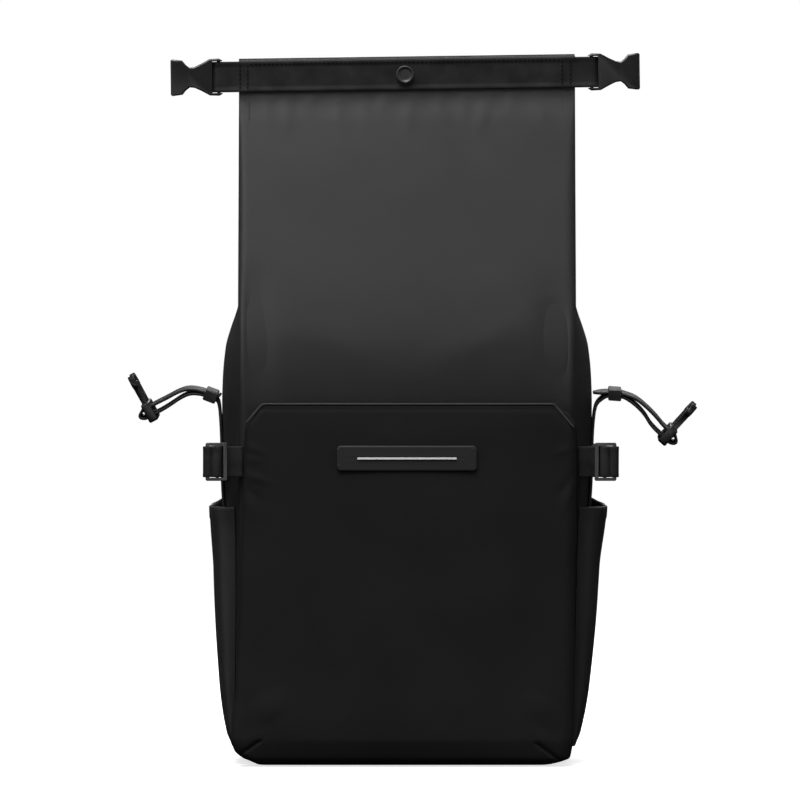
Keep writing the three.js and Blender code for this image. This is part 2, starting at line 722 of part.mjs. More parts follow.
function rollFrame(row) {
  const anchor = sackSideAt(rollAnchorHeight, 0) + gap;
  const lean = THREE.MathUtils.degToRad(row.lean);
  const tilt = THREE.MathUtils.degToRad(row.keeper.angle);
  const at = (out, rise) => point(row.side * (anchor + out), 0, rollAnchorHeight + rise);
  const shared = ({ out, rise }) => at(out * row.reach, rise * row.reach);
  // In the plug, along runs towards the prongs and over towards the sack.
  const inPlug = (along, over) => {
    const l = along - plugBase / 2;
    return at(
      row.reach + l * Math.sin(lean) - over * Math.cos(lean),
      row.drop + l * Math.cos(lean) + over * Math.sin(lean),
    );
  };
  const inKeeper = (along, over) =>
    at(
      row.keeper.out * row.reach + along * Math.cos(tilt) - over * Math.sin(tilt),
      row.keeper.rise * row.reach + along * Math.sin(tilt) + over * Math.cos(tilt),
    );
  // What hangs in the air leans forwards about the line of the keeper.
  const pivot = inKeeper(0, 0);
  const axis = inKeeper(1, 0).sub(pivot).normalize();
  const fullLean = row.side * THREE.MathUtils.degToRad(rollLean);
  const leaning = (place) => {
    const out = row.side * place.x - sackSideAt(place.z, 0) - gap;
    const share = shareOf(out, rollLeanStart, rollLeanSpan);
    return new THREE.Matrix4().makeRotationAxis(axis, fullLean * share);
  };
  const leaned = new THREE.Matrix4()
    .makeTranslation(pivot)
    .multiply(new THREE.Matrix4().makeRotationAxis(axis, fullLean))
    .multiply(new THREE.Matrix4().makeTranslation(pivot.clone().negate()));
  return { at, shared, inPlug, inKeeper, lean, tilt, pivot, leaning, leaned };
}

// The lace through the plug: slot is where it passes, over its distance from the middle of the plug
// as a share of half the plug's thickness.
const plugLace = [
  { slot: slotUpper, over: 2.2 },
  { slot: slotUpper, over: 1 },
  { slot: slotUpper, over: -1 },
  { slot: slotUpper * 0.94, over: -1.8 },
  { slot: plugBase / 2, over: -2.4 },
  { slot: slotLower * 1.2, over: -1.8 },
  { slot: slotLower, over: -1 },
  { slot: slotLower, over: 1 },
  { slot: slotLower, over: 2.2 },
];
// Shares of the way from the tail up to the first bend, down the side of the sack.
const rollRun = [0.84, 0.72, 0.5, 0.25, 0];
const rollBend = 10; // the first bend below the anchor

function rollStrapPath(row) {
  const { at, shared, inPlug, inKeeper } = rollFrame(row);
  const loop = plugLace.map(({ slot, over }) => inPlug(slot, (over * plugThick) / 2));
  const levels = rollRun.map((share) => mix(rollTailHeight, rollAnchorHeight - rollBend, share));
  const down = levels.map((z) => point(row.side * (sackSideAt(z, 0) + gap + webThick / 2), 0, z));
  const points = [
    at(webThick / 2, (row.keeper.rise * row.reach) / 2),
    inKeeper(-keeperEnd, layerSpread),
    inKeeper(keeperEnd, layerSpread),
    ...row.upper.map(shared),
    ...loop,
    ...row.lower.map(shared),
    inKeeper(keeperEnd, -layerSpread),
    inKeeper(-keeperEnd, -layerSpread),
    ...row.inner.map(shared),
    ...down,
  ];
  return smooth(points, 2);
}

// Plug outline: a base laced with webbing, two sprung prongs and a guide between them.
const prongEdge = [
  { along: -0.04, across: 0.46 },
  { along: 0.6, across: 0.6 },
  { along: 0.9, across: 0.56 },
  { along: 1, across: 0.68 },
  { along: 0.95, across: 0.84 },
  { along: 0.72, across: 0.97 },
  { along: 0.6, across: 0.92 },
  { along: 0.56, across: 0.76 },
  { along: -0.04, across: 0.68 },
];
const guideHalf = 0.14; // half width of the guide, as a share of half the plug's width
const guideLength = 0.8; // of the prongs
const plugBevel = 0.8;
const prongBevel = 0.5;
const prongThick = plugThick * 0.62;

function plugSolid() {
  const wide = webWidth + 2 * gap + plugSlot;
  const reach = wide / 2;
  const base = moulded(roundedRectangle(0, -reach, plugBase, wide, 2), plugThick, plugBevel);
  const slots = [slotLower, slotUpper].map((at) =>
    block(plugSlot, 2 * plugThick, webWidth + 2 * gap, point(at, 0, 0)),
  );
  const prong = (side) => {
    const rim = prongEdge.map(
      ({ along, across }) => new THREE.Vector2(plugBase + along * plugProng, side * across * reach),
    );
    return moulded(new THREE.Shape(side > 0 ? rim : rim.reverse()), prongThick, prongBevel);
  };
  const guideWide = guideHalf * reach;
  const guideRim = roundedRectangle(plugBase - 1, -guideWide, plugProng * guideLength, 2 * guideWide, 1);
  const guide = moulded(guideRim, prongThick, prongBevel);
  return cutBy(joined([base, prong(1), prong(-1), guide]), slots);
}

// Keeper: a short sleeve of webbing round both layers of the roll strap.
const keeperRound = 1.2;

function keeperSolid() {
  const high = keeperSlot + 2 * keeperWall;
  const deep = webWidth + 2 * gap + 2 * keeperWall;
  const rim = roundedRectangle(-keeperLength / 2, -high / 2, keeperLength, high, keeperRound);
  const hole = block(2 * keeperLength, webWidth + 2 * gap, keeperSlot, point(0, 0, 0));
  return cutBy(moulded(rim, deep, 0), [hole]);
}

for (const [name, row] of Object.entries(rollStraps)) {
  const { inPlug, lean, tilt, pivot, leaning, leaned } = rollFrame(row);
  const path = rollStrapPath(row);
  const turns = path.map(leaning);
  const leanedPath = path.map((place, i) => place.clone().sub(pivot).applyMatrix4(turns[i]).add(pivot));
  const leanedAcross = (i) => alongY().applyMatrix4(turns[i]);
  add("roll_strap_" + name, settled(strap(leanedPath, leanedAcross, webWidth, webThick)), webbing);
  // The plug is drawn with its length along X and its width along Z, then turned into place.
  const plug = plugSolid().rotateX(Math.PI / 2).rotateY(-(Math.PI / 2 - lean));
  if (row.side < 0) plug.rotateZ(Math.PI);
  const base = inPlug(0, 0);
  plug.translate(base.x, base.y, base.z);
  add("roll_plug_" + name, plug.applyMatrix4(leaned), plastic);
  const keeper = keeperSolid().rotateY(-tilt);
  if (row.side < 0) keeper.rotateZ(Math.PI);
  keeper.translate(pivot.x, pivot.y, pivot.z);
  add("strap_keeper_" + name, keeper.applyMatrix4(leaned), webbing);
}

// Back panel: a padded slab against the back face of the sack.
const backPanelRows = [
  { up: 0, wide: 0.86, deep: 0.7 },
  { up: 0.03, wide: 0.95, deep: 0.9 },
  { up: 0.08, wide: 1, deep: 1 },
  { up: 0.5, wide: 0.98, deep: 1 },
  { up: 0.86, wide: 0.94, deep: 1 },
  { up: 0.96, wide: 0.86, deep: 0.92 },
  { up: 1, wide: 0.72, deep: 0.8 },
];
const backFace = sackDepth / 2 + gap;
const backPanelCrown = 2;
const backRings = backPanelRows.map((row) =>
  outline(backPanelLift + backPanelHeight * row.up, {
    left: (-backPanelWidth / 2) * row.wide,
    right: (backPanelWidth / 2) * row.wide,
    front: backFace,
    back: backFace + (backPanelDepth - backPanelCrown) * row.deep,
    frontRadius: 1,
    backRadius: 4,
    backCrown: backPanelCrown,
  }),
);
add("back_panel", settled(closedBody(backRings)), padding);

// Shoulder straps: padded, sewn to the top of the back panel, bowed away from it on the way down.
const shoulderRows = [
  { down: 0, spread: 0, bow: 0, wide: 0.86 },
  { down: 0.05, spread: 0.02, bow: 0.36, wide: 0.92 },
  { down: 0.2, spread: 0.12, bow: 0.82, wide: 1 },
  { down: 0.42, spread: 0.4, bow: 1, wide: 1 },
  { down: 0.64, spread: 0.72, bow: 0.9, wide: 0.98 },
  { down: 0.84, spread: 0.92, bow: 0.62, wide: 0.86 },
  { down: 1, spread: 1, bow: 0.36, wide: 0.62 },
];
const panelBack = backFace + backPanelDepth;
const shoulderTop = backPanelLift + backPanelHeight * 0.93;
const shoulderSteps = 18;
const padEdge = [
  { across: 1, through: -0.5 },
  { across: 1, through: 0.5 },
  { across: 0.86, through: 1 },
  { across: -0.86, through: 1 },
  { across: -1, through: 0.5 },
  { across: -1, through: -0.5 },
  { across: -0.86, through: -1 },
  { across: 0.86, through: -1 },
];

function shoulderPoint(side, row) {
  const seat = panelBack + gap + shoulderThick / 2;
  return point(
    side * (shoulderInset + shoulderSpread * row.spread),
    seat + shoulderBow * row.bow,
    shoulderTop - shoulderDrop * row.down,
  );
}

const shoulderLine = (side) => curveThrough(shoulderRows.map((row) => shoulderPoint(side, row)));

function shoulderStrap(side) {
  const line = shoulderLine(side);
  const rings = [];
  for (let k = 0; k <= shoulderSteps; k++) {
    const share = k / shoulderSteps;
    const seat = share * (shoulderRows.length - 1);
    const low = shoulderRows[Math.min(Math.floor(seat), shoulderRows.length - 2)];
    const high = shoulderRows[Math.min(Math.floor(seat), shoulderRows.length - 2) + 1];
    const wide = (shoulderWidth / 2) * mix(low.wide, high.wide, seat - shoulderRows.indexOf(low));
    const along = line.getTangent(share);
    const across = point(1, 0, 0).addScaledVector(along, -along.x).normalize();
    const through = along.clone().cross(across);
    const here = line.getPoint(share);
    rings.push(
      padEdge.map((edge) =>
        here
          .clone()
          .addScaledVector(across, edge.across * wide)
          .addScaledVector(through, (edge.through * shoulderThick) / 2),
      ),
    );
  }
  return settled(closedBody(rings));
}

// The lower webbing goes from the end of the shoulder strap, through its adjuster, to the base corner.
function lowerFrame(side) {
  const line = shoulderLine(side);
  const along = line.getTangent(1);
  const across = point(1, 0, 0).addScaledVector(along, -along.x).normalize();
  const through = along.clone().cross(across);
  const outer = sackWidth / 2 - sackCorner - webWidth / 2;
  const anchor = point(side * outer, backFace + webThick / 2 + gap, tailAnchorHeight);
  return { end: line.getPoint(1), anchor, along, across, through };
}

const adjusterSlots = [
  { from: 0.14, to: 0.4 },
  { from: 0.58, to: 0.84 },
];
const adjusterRound = 2.5;

function adjusterSolid() {
  const high = webWidth + 2 * gap;
  const tall = high + 2 * sliderRail;
  const rim = roundedRectangle(0, -tall / 2, adjusterLength, tall, adjusterRound);
  const slots = adjusterSlots.map(({ from, to }) => {
    const at = point(((from + to) / 2) * adjusterLength, 0, 0);
    return block((to - from) * adjusterLength, 3 * adjusterThick, high, at);
  });
  return cutBy(moulded(rim, adjusterThick, plugBevel), slots);
}

// through is 1 where the webbing lies behind the adjuster and -1 where it lies in front of it.
const adjusterLace = [
  { along: 0.08, through: -1 },
  { along: 0.16, through: -1 },
  { along: 0.27, through: 0 },
  { along: 0.38, through: 1 },
  { along: 0.6, through: 1 },
  { along: 0.71, through: 0 },
  { along: 0.82, through: -1 },
  { along: 1.1, through: -1 },
];

function lowerWebbing(side) {
  const { end, anchor, along, through } = lowerFrame(side);
  const inAdjuster = (share, off) =>
    end
      .clone()
      .addScaledVector(along, gap + share * adjusterLength)
      .addScaledVector(through, off);
  const lift = adjusterThick / 2 + gap + webThick / 2;
  const points = [
    ...adjusterLace.map((row) => inAdjuster(row.along, row.through * lift)),
    anchor.clone().add(point(0, backPanelDepth + webThick, shoulderBow)),
    anchor.clone().add(point(0, webThick, shoulderBow / 2)),
    anchor,
  ];
  return smooth(points, 2);
}

for (const [name, side] of bothSides) {
  add("shoulder_strap_" + name, shoulderStrap(side), padding);
  const { end, along, across, through } = lowerFrame(side);
  const webbingPath = lowerWebbing(side);
  add("lower_webbing_" + name, settled(strap(webbingPath, () => across, webWidth, webThick)), webbing);
  const turned = new THREE.Matrix4().makeBasis(along, through, along.clone().cross(through));
  const adjuster = adjusterSolid().applyMatrix4(turned);
  const seat = end.clone().addScaledVector(along, gap);
  add("strap_adjuster_" + name, settled(adjuster.translate(seat.x, seat.y, seat.z)), plastic);
}

// Grab handle: a stiff webbing loop that stands on the top edge of the back panel.
const handleRows = [
  { across: -0.5, rise: 0 },
  { across: -0.5, rise: 0.35 },
  { across: -0.44, rise: 0.75 },
  { across: -0.26, rise: 0.95 },
  { across: 0, rise: 1 },
  { across: 0.26, rise: 0.95 },
  { across: 0.44, rise: 0.75 },
  { across: 0.5, rise: 0.35 },
  { across: 0.5, rise: 0 },
];
const handleFoot = backPanelLift + backPanelHeight + gap;
const handlePath = smooth(
  handleRows.map((row) =>
    point(row.across * handleSpan, backFace + backPanelDepth * 0.5, handleFoot + row.rise * handleRise),
  ),
  3,
);
add("grab_handle", strap(handlePath, alongY, backPanelDepth * 0.86, handleThick), webbing);

export default backpack;
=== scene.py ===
"""Rolltop backpack, unrolled and standing on its base. Metres, +Z up, front towards -Y."""

import math

import bmesh
import bpy
import numpy as np
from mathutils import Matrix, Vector


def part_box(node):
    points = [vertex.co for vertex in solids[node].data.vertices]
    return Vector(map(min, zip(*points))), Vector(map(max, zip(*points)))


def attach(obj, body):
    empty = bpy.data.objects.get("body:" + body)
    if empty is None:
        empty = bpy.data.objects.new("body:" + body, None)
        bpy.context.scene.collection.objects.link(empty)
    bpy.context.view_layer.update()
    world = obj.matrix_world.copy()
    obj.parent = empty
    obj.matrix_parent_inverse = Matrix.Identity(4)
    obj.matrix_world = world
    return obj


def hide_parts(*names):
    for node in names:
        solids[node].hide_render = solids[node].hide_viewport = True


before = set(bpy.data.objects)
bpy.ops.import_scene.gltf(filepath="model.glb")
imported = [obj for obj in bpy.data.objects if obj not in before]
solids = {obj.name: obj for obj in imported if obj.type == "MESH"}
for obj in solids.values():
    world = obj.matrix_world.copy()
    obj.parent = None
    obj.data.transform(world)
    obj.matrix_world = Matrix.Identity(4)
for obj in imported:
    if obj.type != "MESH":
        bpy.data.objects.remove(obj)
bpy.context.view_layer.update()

# Studio
# A long lens stands a little above the middle of the bag. Large softboxes hang over the front and behind,
# weaker ones stand low in front and at both sides, and a small one is aimed at the left buckle. The
# floor and the surround are plain white, and black cloth reflects neither.
mm = 0.001
photo_width = 800 * 0.84 * mm  # pixels across the photo, each of this size on the bag
camera_distance = 7.0
camera_rise = math.radians(1.5)
photo_middle = Vector((-5.9, -40, 306.2)) * mm

camera_data = bpy.data.cameras.new("camera")
camera_data.sensor_width = 36
camera_data.lens = camera_data.sensor_width * camera_distance / photo_width
camera_data.clip_end = 60
camera = bpy.data.objects.new("camera", camera_data)
bpy.context.scene.collection.objects.link(camera)
back_and_up = Vector((0, -math.cos(camera_rise), math.sin(camera_rise)))
camera.location = photo_middle + camera_distance * back_and_up
camera.rotation_euler = back_and_up.to_track_quat("Z", "Y").to_euler()
bpy.context.scene.camera = camera
bpy.context.scene.view_settings.view_transform = "Standard"


def softbox(name, place, aimed_at, width, height, watts):
    """A soft rectangular lamp that the camera doesn't see."""
    lamp = bpy.data.lights.new(name, "AREA")
    lamp.shape = "RECTANGLE"
    lamp.size = width
    lamp.size_y = height
    lamp.energy = watts
    holder = bpy.data.objects.new(name, lamp)
    holder.location = place
    holder.rotation_euler = (Vector(place) - Vector(aimed_at)).to_track_quat("Z", "Y").to_euler()
    holder.visible_camera = False
    bpy.context.scene.collection.objects.link(holder)


softbox("top_softbox", (-0.3, -0.6, 1.9), (0, 0, 0.45), 1.4, 0.8, 40)
softbox("front_softbox", (-0.1, -2.2, 0.1), (0, 0, 0.1), 1.6, 0.6, 4)
softbox("left_softbox", (-1.5, -0.9, 0.75), (0, 0, 0.35), 0.5, 1.5, 4.5)
softbox("right_softbox", (1.5, -0.8, 0.75), (0, 0, 0.35), 0.5, 1.5, 5.5)
softbox("buckle_softbox", (-0.9, -0.9, 0.95), (-0.22, 0, 0.57), 0.25, 0.25, 1.0)
softbox("back_softbox", (0.3, 1.6, 1.5), (0, 0, 0.35), 1.6, 1.0, 22)

surround = bpy.data.worlds.new("surround")
surround.use_nodes = True
surround.node_tree.nodes["Background"].inputs["Color"].default_value = (1, 1, 1, 1)
bpy.context.scene.world = surround
surround.cycles_visibility.diffuse = False
surround.cycles_visibility.glossy = False

floor_reach = 6.0
floor_mesh = bpy.data.meshes.new("floor")
floor_corners = [(x * floor_reach, y * floor_reach, 0) for x, y in [(-1, -1), (1, -1), (1, 1), (-1, 1)]]
floor_mesh.from_pydata(floor_corners, [], [(0, 1, 2, 3)])
floor = bpy.data.objects.new("floor", floor_mesh)
bpy.context.scene.collection.objects.link(floor)
floor.visible_diffuse = False
floor.visible_glossy = False
floor_finish = bpy.data.materials.new("white_floor")
floor_finish.use_nodes = True
floor_shader = floor_finish.node_tree.nodes["Principled BSDF"]
floor_shader.inputs["Base Color"].default_value = (0.9, 0.9, 0.9, 1)
floor_shader.inputs["Roughness"].default_value = 1
floor_shader.inputs["Specular IOR Level"].default_value = 0
floor_shader.inputs["Emission Color"].default_value = (1, 1, 1, 1)
floor_nodes = floor_finish.node_tree.nodes
floor_link = floor_finish.node_tree.links.new
floor_place = floor_nodes.new("ShaderNodeTexCoord")
floor_distance = floor_nodes.new("ShaderNodeVectorMath")
floor_distance.operation = "LENGTH"
floor_glow = floor_nodes.new("ShaderNodeMapRange")
floor_glow.inputs["From Min"].default_value = 0.25
floor_glow.inputs["From Max"].default_value = 1.1
floor_glow.inputs["To Min"].default_value = 0.7
floor_glow.inputs["To Max"].default_value = 1
floor_link(floor_place.outputs["Object"], floor_distance.inputs[0])
floor_link(floor_distance.outputs["Value"], floor_glow.inputs["Value"])
floor_link(floor_glow.outputs["Result"], floor_shader.inputs["Emission Strength"])
floor_mesh.materials.append(floor_finish)

# Main sack
# One tube of coated black twill on a doubled base. It stands as a box up to the top of the front
# pocket, then its faces lean together to the flat mouth, and its gussets fold in between them.
sack_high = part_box("sack")[1]
sack_width = 284 * mm
sack_depth = 106 * mm
mouth_depth = 12 * mm
mouth_setback = 11 * mm
mouth_slope = math.tan(math.radians(0.8))
bag_height = sack_high.z - mouth_slope * sack_width / 2
sack_corner = 7 * mm
cloth_wall = 1.6 * mm
clear = 0.4 * mm
settle = -3 * mm
settle_level = 312.5 * mm


def settled(points):
    """The base of the soft bag has settled a little to the left, and every piece follows it."""
    below = np.clip(1 - points[..., 2] / settle_level, 0, None)
    moved = points.copy()
    moved[..., 0] += settle * below**2
    return moved


def read_column(rows, column, at):
    """Reads a table between its rows, on a smooth curve that never runs past them."""
    up = np.array([row["up"] for row in rows])
    value = np.array([row[column] for row in rows])
    step = np.diff(value) / np.diff(up)
    slope = np.zeros(len(up))
    same_way = step[:-1] * step[1:] > 0
    slope[1:-1][same_way] = 2 * (step[:-1] * step[1:] / (step[:-1] + step[1:] + 1e-30))[same_way]
    seat = np.clip(np.searchsorted(up, at, side="right") - 1, 0, len(up) - 2)
    span = up[seat + 1] - up[seat]
    t = np.clip((at - up[seat]) / span, 0, 1)
    from_low = value[seat] * (1 + 2 * t) * (1 - t) ** 2 + slope[seat] * span * t * (1 - t) ** 2
    from_high = value[seat + 1] * t * t * (3 - 2 * t) - slope[seat + 1] * span * t * t * (1 - t)
    return from_low + from_high


def round_corners(face_steps, side_steps, corner_steps):
    """A rectangle with round corners: each point's share along the straights, and its way out of a corner."""
    marks = []
    for turn, steps in enumerate([face_steps, side_steps, face_steps, side_steps]):
        angle = math.pi / 2 * (turn - 1)
        out = (math.cos(angle), math.sin(angle))
        along = (-out[1], out[0])
        for k in range(steps):
            share = 2 * k / steps - 1
            marks.append((out[0] + along[0] * share, out[1] + along[1] * share, *out))
        for k in range(corner_steps):
            bend = angle + math.pi / 2 * k / corner_steps
            marks.append((out[0] + along[0], out[1] + along[1], math.cos(bend), math.sin(bend)))
    return np.array(marks)


def loops(marks, left, right, front, back, radius, level):
    """Level outlines of a cloth body, one row for each level, from marks made by round_corners."""
    left, right, front, back, radius, level = (v[:, None] for v in (left, right, front, back, radius, level))
    x = (left + right) / 2 + ((right - left) / 2 - radius) * marks[:, 0] + radius * marks[:, 2]
    y = (front + back) / 2 + ((back - front) / 2 - radius) * marks[:, 1] + radius * marks[:, 3]
    return np.stack([x, y, level + 0 * x], -1)


def lofted(name, rows, around=True):
    """A mesh through rows of points. Rows that run around are closed on themselves and capped."""
    count, size = rows.shape[:2]
    first = np.arange(count - 1)[:, None] * size
    here = np.arange(size if around else size - 1)
    after = (here + 1) % size
    faces = np.stack([first + here, first + after, first + after + size, first + here + size], -1)
    faces = faces.reshape(-1, 4).tolist()
    points = rows.reshape(-1, 3).tolist()
    if around:
        for start, turned in [(0, True), ((count - 1) * size, False)]:
            points.append(np.mean(points[start : start + size], axis=0).tolist())
            for k in range(size):
                fan = [start + k, start + (k + 1) % size, len(points) - 1]
                faces.append(fan[::-1] if turned else fan)
    mesh = bpy.data.meshes.new(name)
    mesh.from_pydata(points, [], faces)
    mesh.shade_smooth()
    piece = bpy.data.objects.new(name, mesh)
    bpy.context.scene.collection.objects.link(piece)
    return piece


def vessel(name, outer, inner, lip):
    """A cloth vessel: its outer rows upwards, a rolled lip, and its inner rows down to the floor."""
    rim = (outer[-1] + inner[0]) / 2
    rim[:, 2] += lip
    return lofted(name, np.concatenate([outer, rim[None], inner]))


def dented(points, folds, toward):
    """Moves points towards a side by a table of folds. Each runs from x, z to to_x, to_z in millimetres
    and is a soft ridge this wide and high, or a hollow where high is below zero."""
    moved = points.copy()
    for fold in folds:
        start = np.array([fold["x"], fold["z"]]) * mm
        run = np.array([fold["to_x"], fold["to_z"]]) * mm - start
        place = points[..., [0, 2]] - start
        share = np.clip(place @ run / (run @ run), 0, 1)
        away = np.linalg.norm(place - share[..., None] * run, axis=-1)
        fade = np.sin(math.pi * (0.12 + 0.76 * share)) if fold.get("fade", True) else 1
        lift = fold["high"] * mm * fade * np.exp(-((away / (fold["wide"] * mm)) ** 2))
        moved += lift[..., None] * np.array(toward)
    return moved


def seated(piece, slot, finish, *nodes):
    """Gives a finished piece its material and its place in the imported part."""
    piece.data.materials.clear()
    piece.data.materials.append(finish)
    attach(piece, "root")
    if nodes:
        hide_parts(*nodes)


def coated_twill(name, tone, rough, sheen, relief, pitch=1.15 * mm, gloss=0.3, fade=(0, 1, 1, 1)):
    """Coated twill: fine slanting ribs crossed by finer threads, and slow patches of lighter and darker
    cloth. fade holds two heights and the shares of the tone and gloss that are left at each: painted light
    and shade that change with height. By default it leaves both whole."""
    finish = bpy.data.materials.new(name)
    finish.use_nodes = True
    nodes = finish.node_tree.nodes
    link = finish.node_tree.links.new
    shader = nodes["Principled BSDF"]
    shader.inputs["Roughness"].default_value = rough
    shader.inputs["Sheen Weight"].default_value = sheen
    shader.inputs["Sheen Roughness"].default_value = 0.4
    place = nodes.new("ShaderNodeTexCoord")
    ribs = nodes.new("ShaderNodeTexWave")
    ribs.bands_direction = "DIAGONAL"
    ribs.inputs["Scale"].default_value = 2 * math.pi / (10 * pitch)
    ribs.inputs["Distortion"].default_value = 0.6
    ribs.inputs["Detail"].default_value = 1
    ribs.inputs["Detail Scale"].default_value = 2
    threads = nodes.new("ShaderNodeTexWave")
    threads.bands_direction = "Z"
    threads.inputs["Scale"].default_value = 2 * math.pi / (10 * pitch * 0.6)
    patches = nodes.new("ShaderNodeTexNoise")
    patches.inputs["Scale"].default_value = 14
    patches.inputs["Detail"].default_value = 3
    tones = nodes.new("ShaderNodeValToRGB")
    tones.color_ramp.elements[0].position = 0.3
    tones.color_ramp.elements[1].position = 0.75
    tones.color_ramp.elements[0].color = (*[t * 0.9 for t in tone], 1)
    tones.color_ramp.elements[1].color = (*[t * 1.1 for t in tone], 1)
    weave = nodes.new("ShaderNodeMath")
    weave.operation = "MULTIPLY_ADD"
    weave.inputs[1].default_value = 0.35
    bump = nodes.new("ShaderNodeBump")
    bump.inputs["Strength"].default_value = relief
    bump.inputs["Distance"].default_value = 0.15 * mm
    height = nodes.new("ShaderNodeSeparateXYZ")
    shade_by_height = nodes.new("ShaderNodeMapRange")
    for socket, value in zip(("From Min", "From Max", "To Min", "To Max"), fade):
        shade_by_height.inputs[socket].default_value = value
    shaded_tone = nodes.new("ShaderNodeVectorMath")
    shaded_tone.operation = "SCALE"
    shaded_gloss = nodes.new("ShaderNodeMath")
    shaded_gloss.operation = "MULTIPLY"
    shaded_gloss.inputs[1].default_value = gloss
    for texture in (ribs, threads, patches, height):
        link(place.outputs["Object"], texture.inputs["Vector"])
    link(height.outputs["Z"], shade_by_height.inputs["Value"])
    link(shade_by_height.outputs["Result"], shaded_tone.inputs["Scale"])
    link(shade_by_height.outputs["Result"], shaded_gloss.inputs[0])
    link(shaded_gloss.outputs["Value"], shader.inputs["Specular IOR Level"])
    link(patches.outputs["Fac"], tones.inputs["Fac"])
    link(tones.outputs["Color"], shaded_tone.inputs[0])
    link(shaded_tone.outputs["Vector"], shader.inputs["Base Color"])
    link(threads.outputs["Fac"], weave.inputs[0])
    link(ribs.outputs["Fac"], weave.inputs[2])
    link(weave.outputs["Value"], bump.inputs["Height"])
    link(bump.outputs["Normal"], shader.inputs["Normal"])
    return finish


# Painted shade: the cloth's tone and gloss are lowered at the foot of the sleeve and below it, for the shade
# there.
sack_painted_shade = (0.3, 0.36, 0.6, 1)
sack_cloth = coated_twill("sack_twill", (0.027, 0.027, 0.027), 0.5, 0.03, 0.8, fade=sack_painted_shade)

# width and depth are shares of the full size, swell a share of half the width, and front_in and
# back_in say how far each face has come in towards the flattened mouth.
sack_rows = [
    {"up": 0, "width": 0.84, "depth": 0.86, "swell": 0, "front_in": 0, "back_in": 0},
    {"up": 0.007, "width": 0.9, "depth": 0.93, "swell": 0, "front_in": 0, "back_in": 0},
    {"up": 0.014, "width": 0.955, "depth": 0.97, "swell": 0, "front_in": 0, "back_in": 0},
    {"up": 0.024, "width": 0.985, "depth": 0.99, "swell": 0, "front_in": 0, "back_in": 0},
    {"up": 0.045, "width": 1, "depth": 1, "swell": 0.004, "front_in": 0, "back_in": 0},
    {"up": 0.2, "width": 1, "depth": 1, "swell": 0.02, "front_in": 0, "back_in": 0},
    {"up": 0.3, "width": 1, "depth": 1, "swell": 0.05, "front_in": 0, "back_in": 0},
    {"up": 0.38, "width": 1, "depth": 1, "swell": 0.085, "front_in": 0, "back_in": 0},
    {"up": 0.51, "width": 1, "depth": 1, "swell": 0.1, "front_in": 0, "back_in": 0},
    {"up": 0.545, "width": 1, "depth": 1, "swell": 0.096, "front_in": 0.01, "back_in": 0},
    {"up": 0.59, "width": 1, "depth": 1, "swell": 0.078, "front_in": 0.04, "back_in": 0},
    {"up": 0.615, "width": 1, "depth": 1, "swell": 0.05, "front_in": 0.07, "back_in": 0},
    {"up": 0.637, "width": 1, "depth": 1, "swell": 0.018, "front_in": 0.11, "back_in": 0},
    {"up": 0.66, "width": 1, "depth": 1, "swell": -0.01, "front_in": 0.16, "back_in": 0},
    {"up": 0.71, "width": 1, "depth": 1, "swell": -0.05, "front_in": 0.29, "back_in": 0.05},
    {"up": 0.76, "width": 1, "depth": 1, "swell": -0.09, "front_in": 0.43, "back_in": 0.17},
    {"up": 0.81, "width": 1, "depth": 1, "swell": -0.12, "front_in": 0.57, "back_in": 0.36},
    {"up": 0.86, "width": 1, "depth": 1, "swell": -0.12, "front_in": 0.72, "back_in": 0.6},
    {"up": 0.91, "width": 1, "depth": 1, "swell": -0.07, "front_in": 0.88, "back_in": 0.86},
    {"up": 0.945, "width": 1, "depth": 1, "swell": 0, "front_in": 1, "back_in": 1},
    {"up": 1, "width": 1, "depth": 1, "swell": 0, "front_in": 1, "back_in": 1},
]
corner_share = 0.12  # no corner is rounder than this share of the depth at its level
tilt_start = 0.7  # below this share of the height the sack stands level
tilt_full = 0.945  # above it the cloth is as tilted as the mouth
mouth_front = mouth_setback - mouth_depth / 2
mouth_back = mouth_setback + mouth_depth / 2


def sack_sides(up):
    """Where the four sides of the sack stand at a share of its height."""
    reach = sack_width / 2 * read_column(sack_rows, "width", up)
    deep = sack_depth / 2 * read_column(sack_rows, "depth", up)
    front_in = read_column(sack_rows, "front_in", up)
    back_in = read_column(sack_rows, "back_in", up)
    front = -deep * (1 - front_in) + mouth_front * front_in
    back = deep * (1 - back_in) + mouth_back * back_in
    radius = np.minimum(sack_corner, corner_share * (back - front))
    return reach, front, back, radius, sack_width / 2 * read_column(sack_rows, "swell", up)


def sack_loops(marks, up, inset):
    """Levels of the sack. Its gussets swell out between the corners, or fold in where swell is below zero."""
    reach, front, back, radius, swell = sack_sides(up)
    level = np.maximum(bag_height * up, inset)
    rows = loops(marks, -reach + inset, reach - inset, front + inset, back - inset, radius - inset / 2, level)
    low = (front + radius)[:, None]
    high = (back - radius)[:, None]
    share = np.clip((rows[..., 1] - low) / (high - low), 0, 1)
    rows[..., 0] += rows[..., 0] / reach[:, None] * swell[:, None] * np.sin(math.pi * share)
    tilt = np.clip((up - tilt_start) / (tilt_full - tilt_start), 0, 1) * mouth_slope
    rows[..., 2] += rows[..., 0] * tilt[:, None]
    return rows


sleeve_folds = [
    {"x": -128, "z": 405, "to_x": -124, "to_z": 318, "wide": 13, "high": -2.6},
    {"x": 122, "z": 395, "to_x": 128, "to_z": 318, "wide": 15, "high": -2.8},
    {"x": -136, "z": 526, "to_x": -60, "to_z": 470, "wide": 16, "high": 0.9},
    {"x": 74, "z": 548, "to_x": 134, "to_z": 522, "wide": 14, "high": 0.9},
    {"x": 8, "z": 550, "to_x": 46, "to_z": 478, "wide": 15, "high": 0.6},
    {"x": -110, "z": 375, "to_x": -20, "to_z": 338, "wide": 14, "high": 0.8},
    {"x": 20, "z": 338, "to_x": 105, "to_z": 372, "wide": 14, "high": 0.8},
]
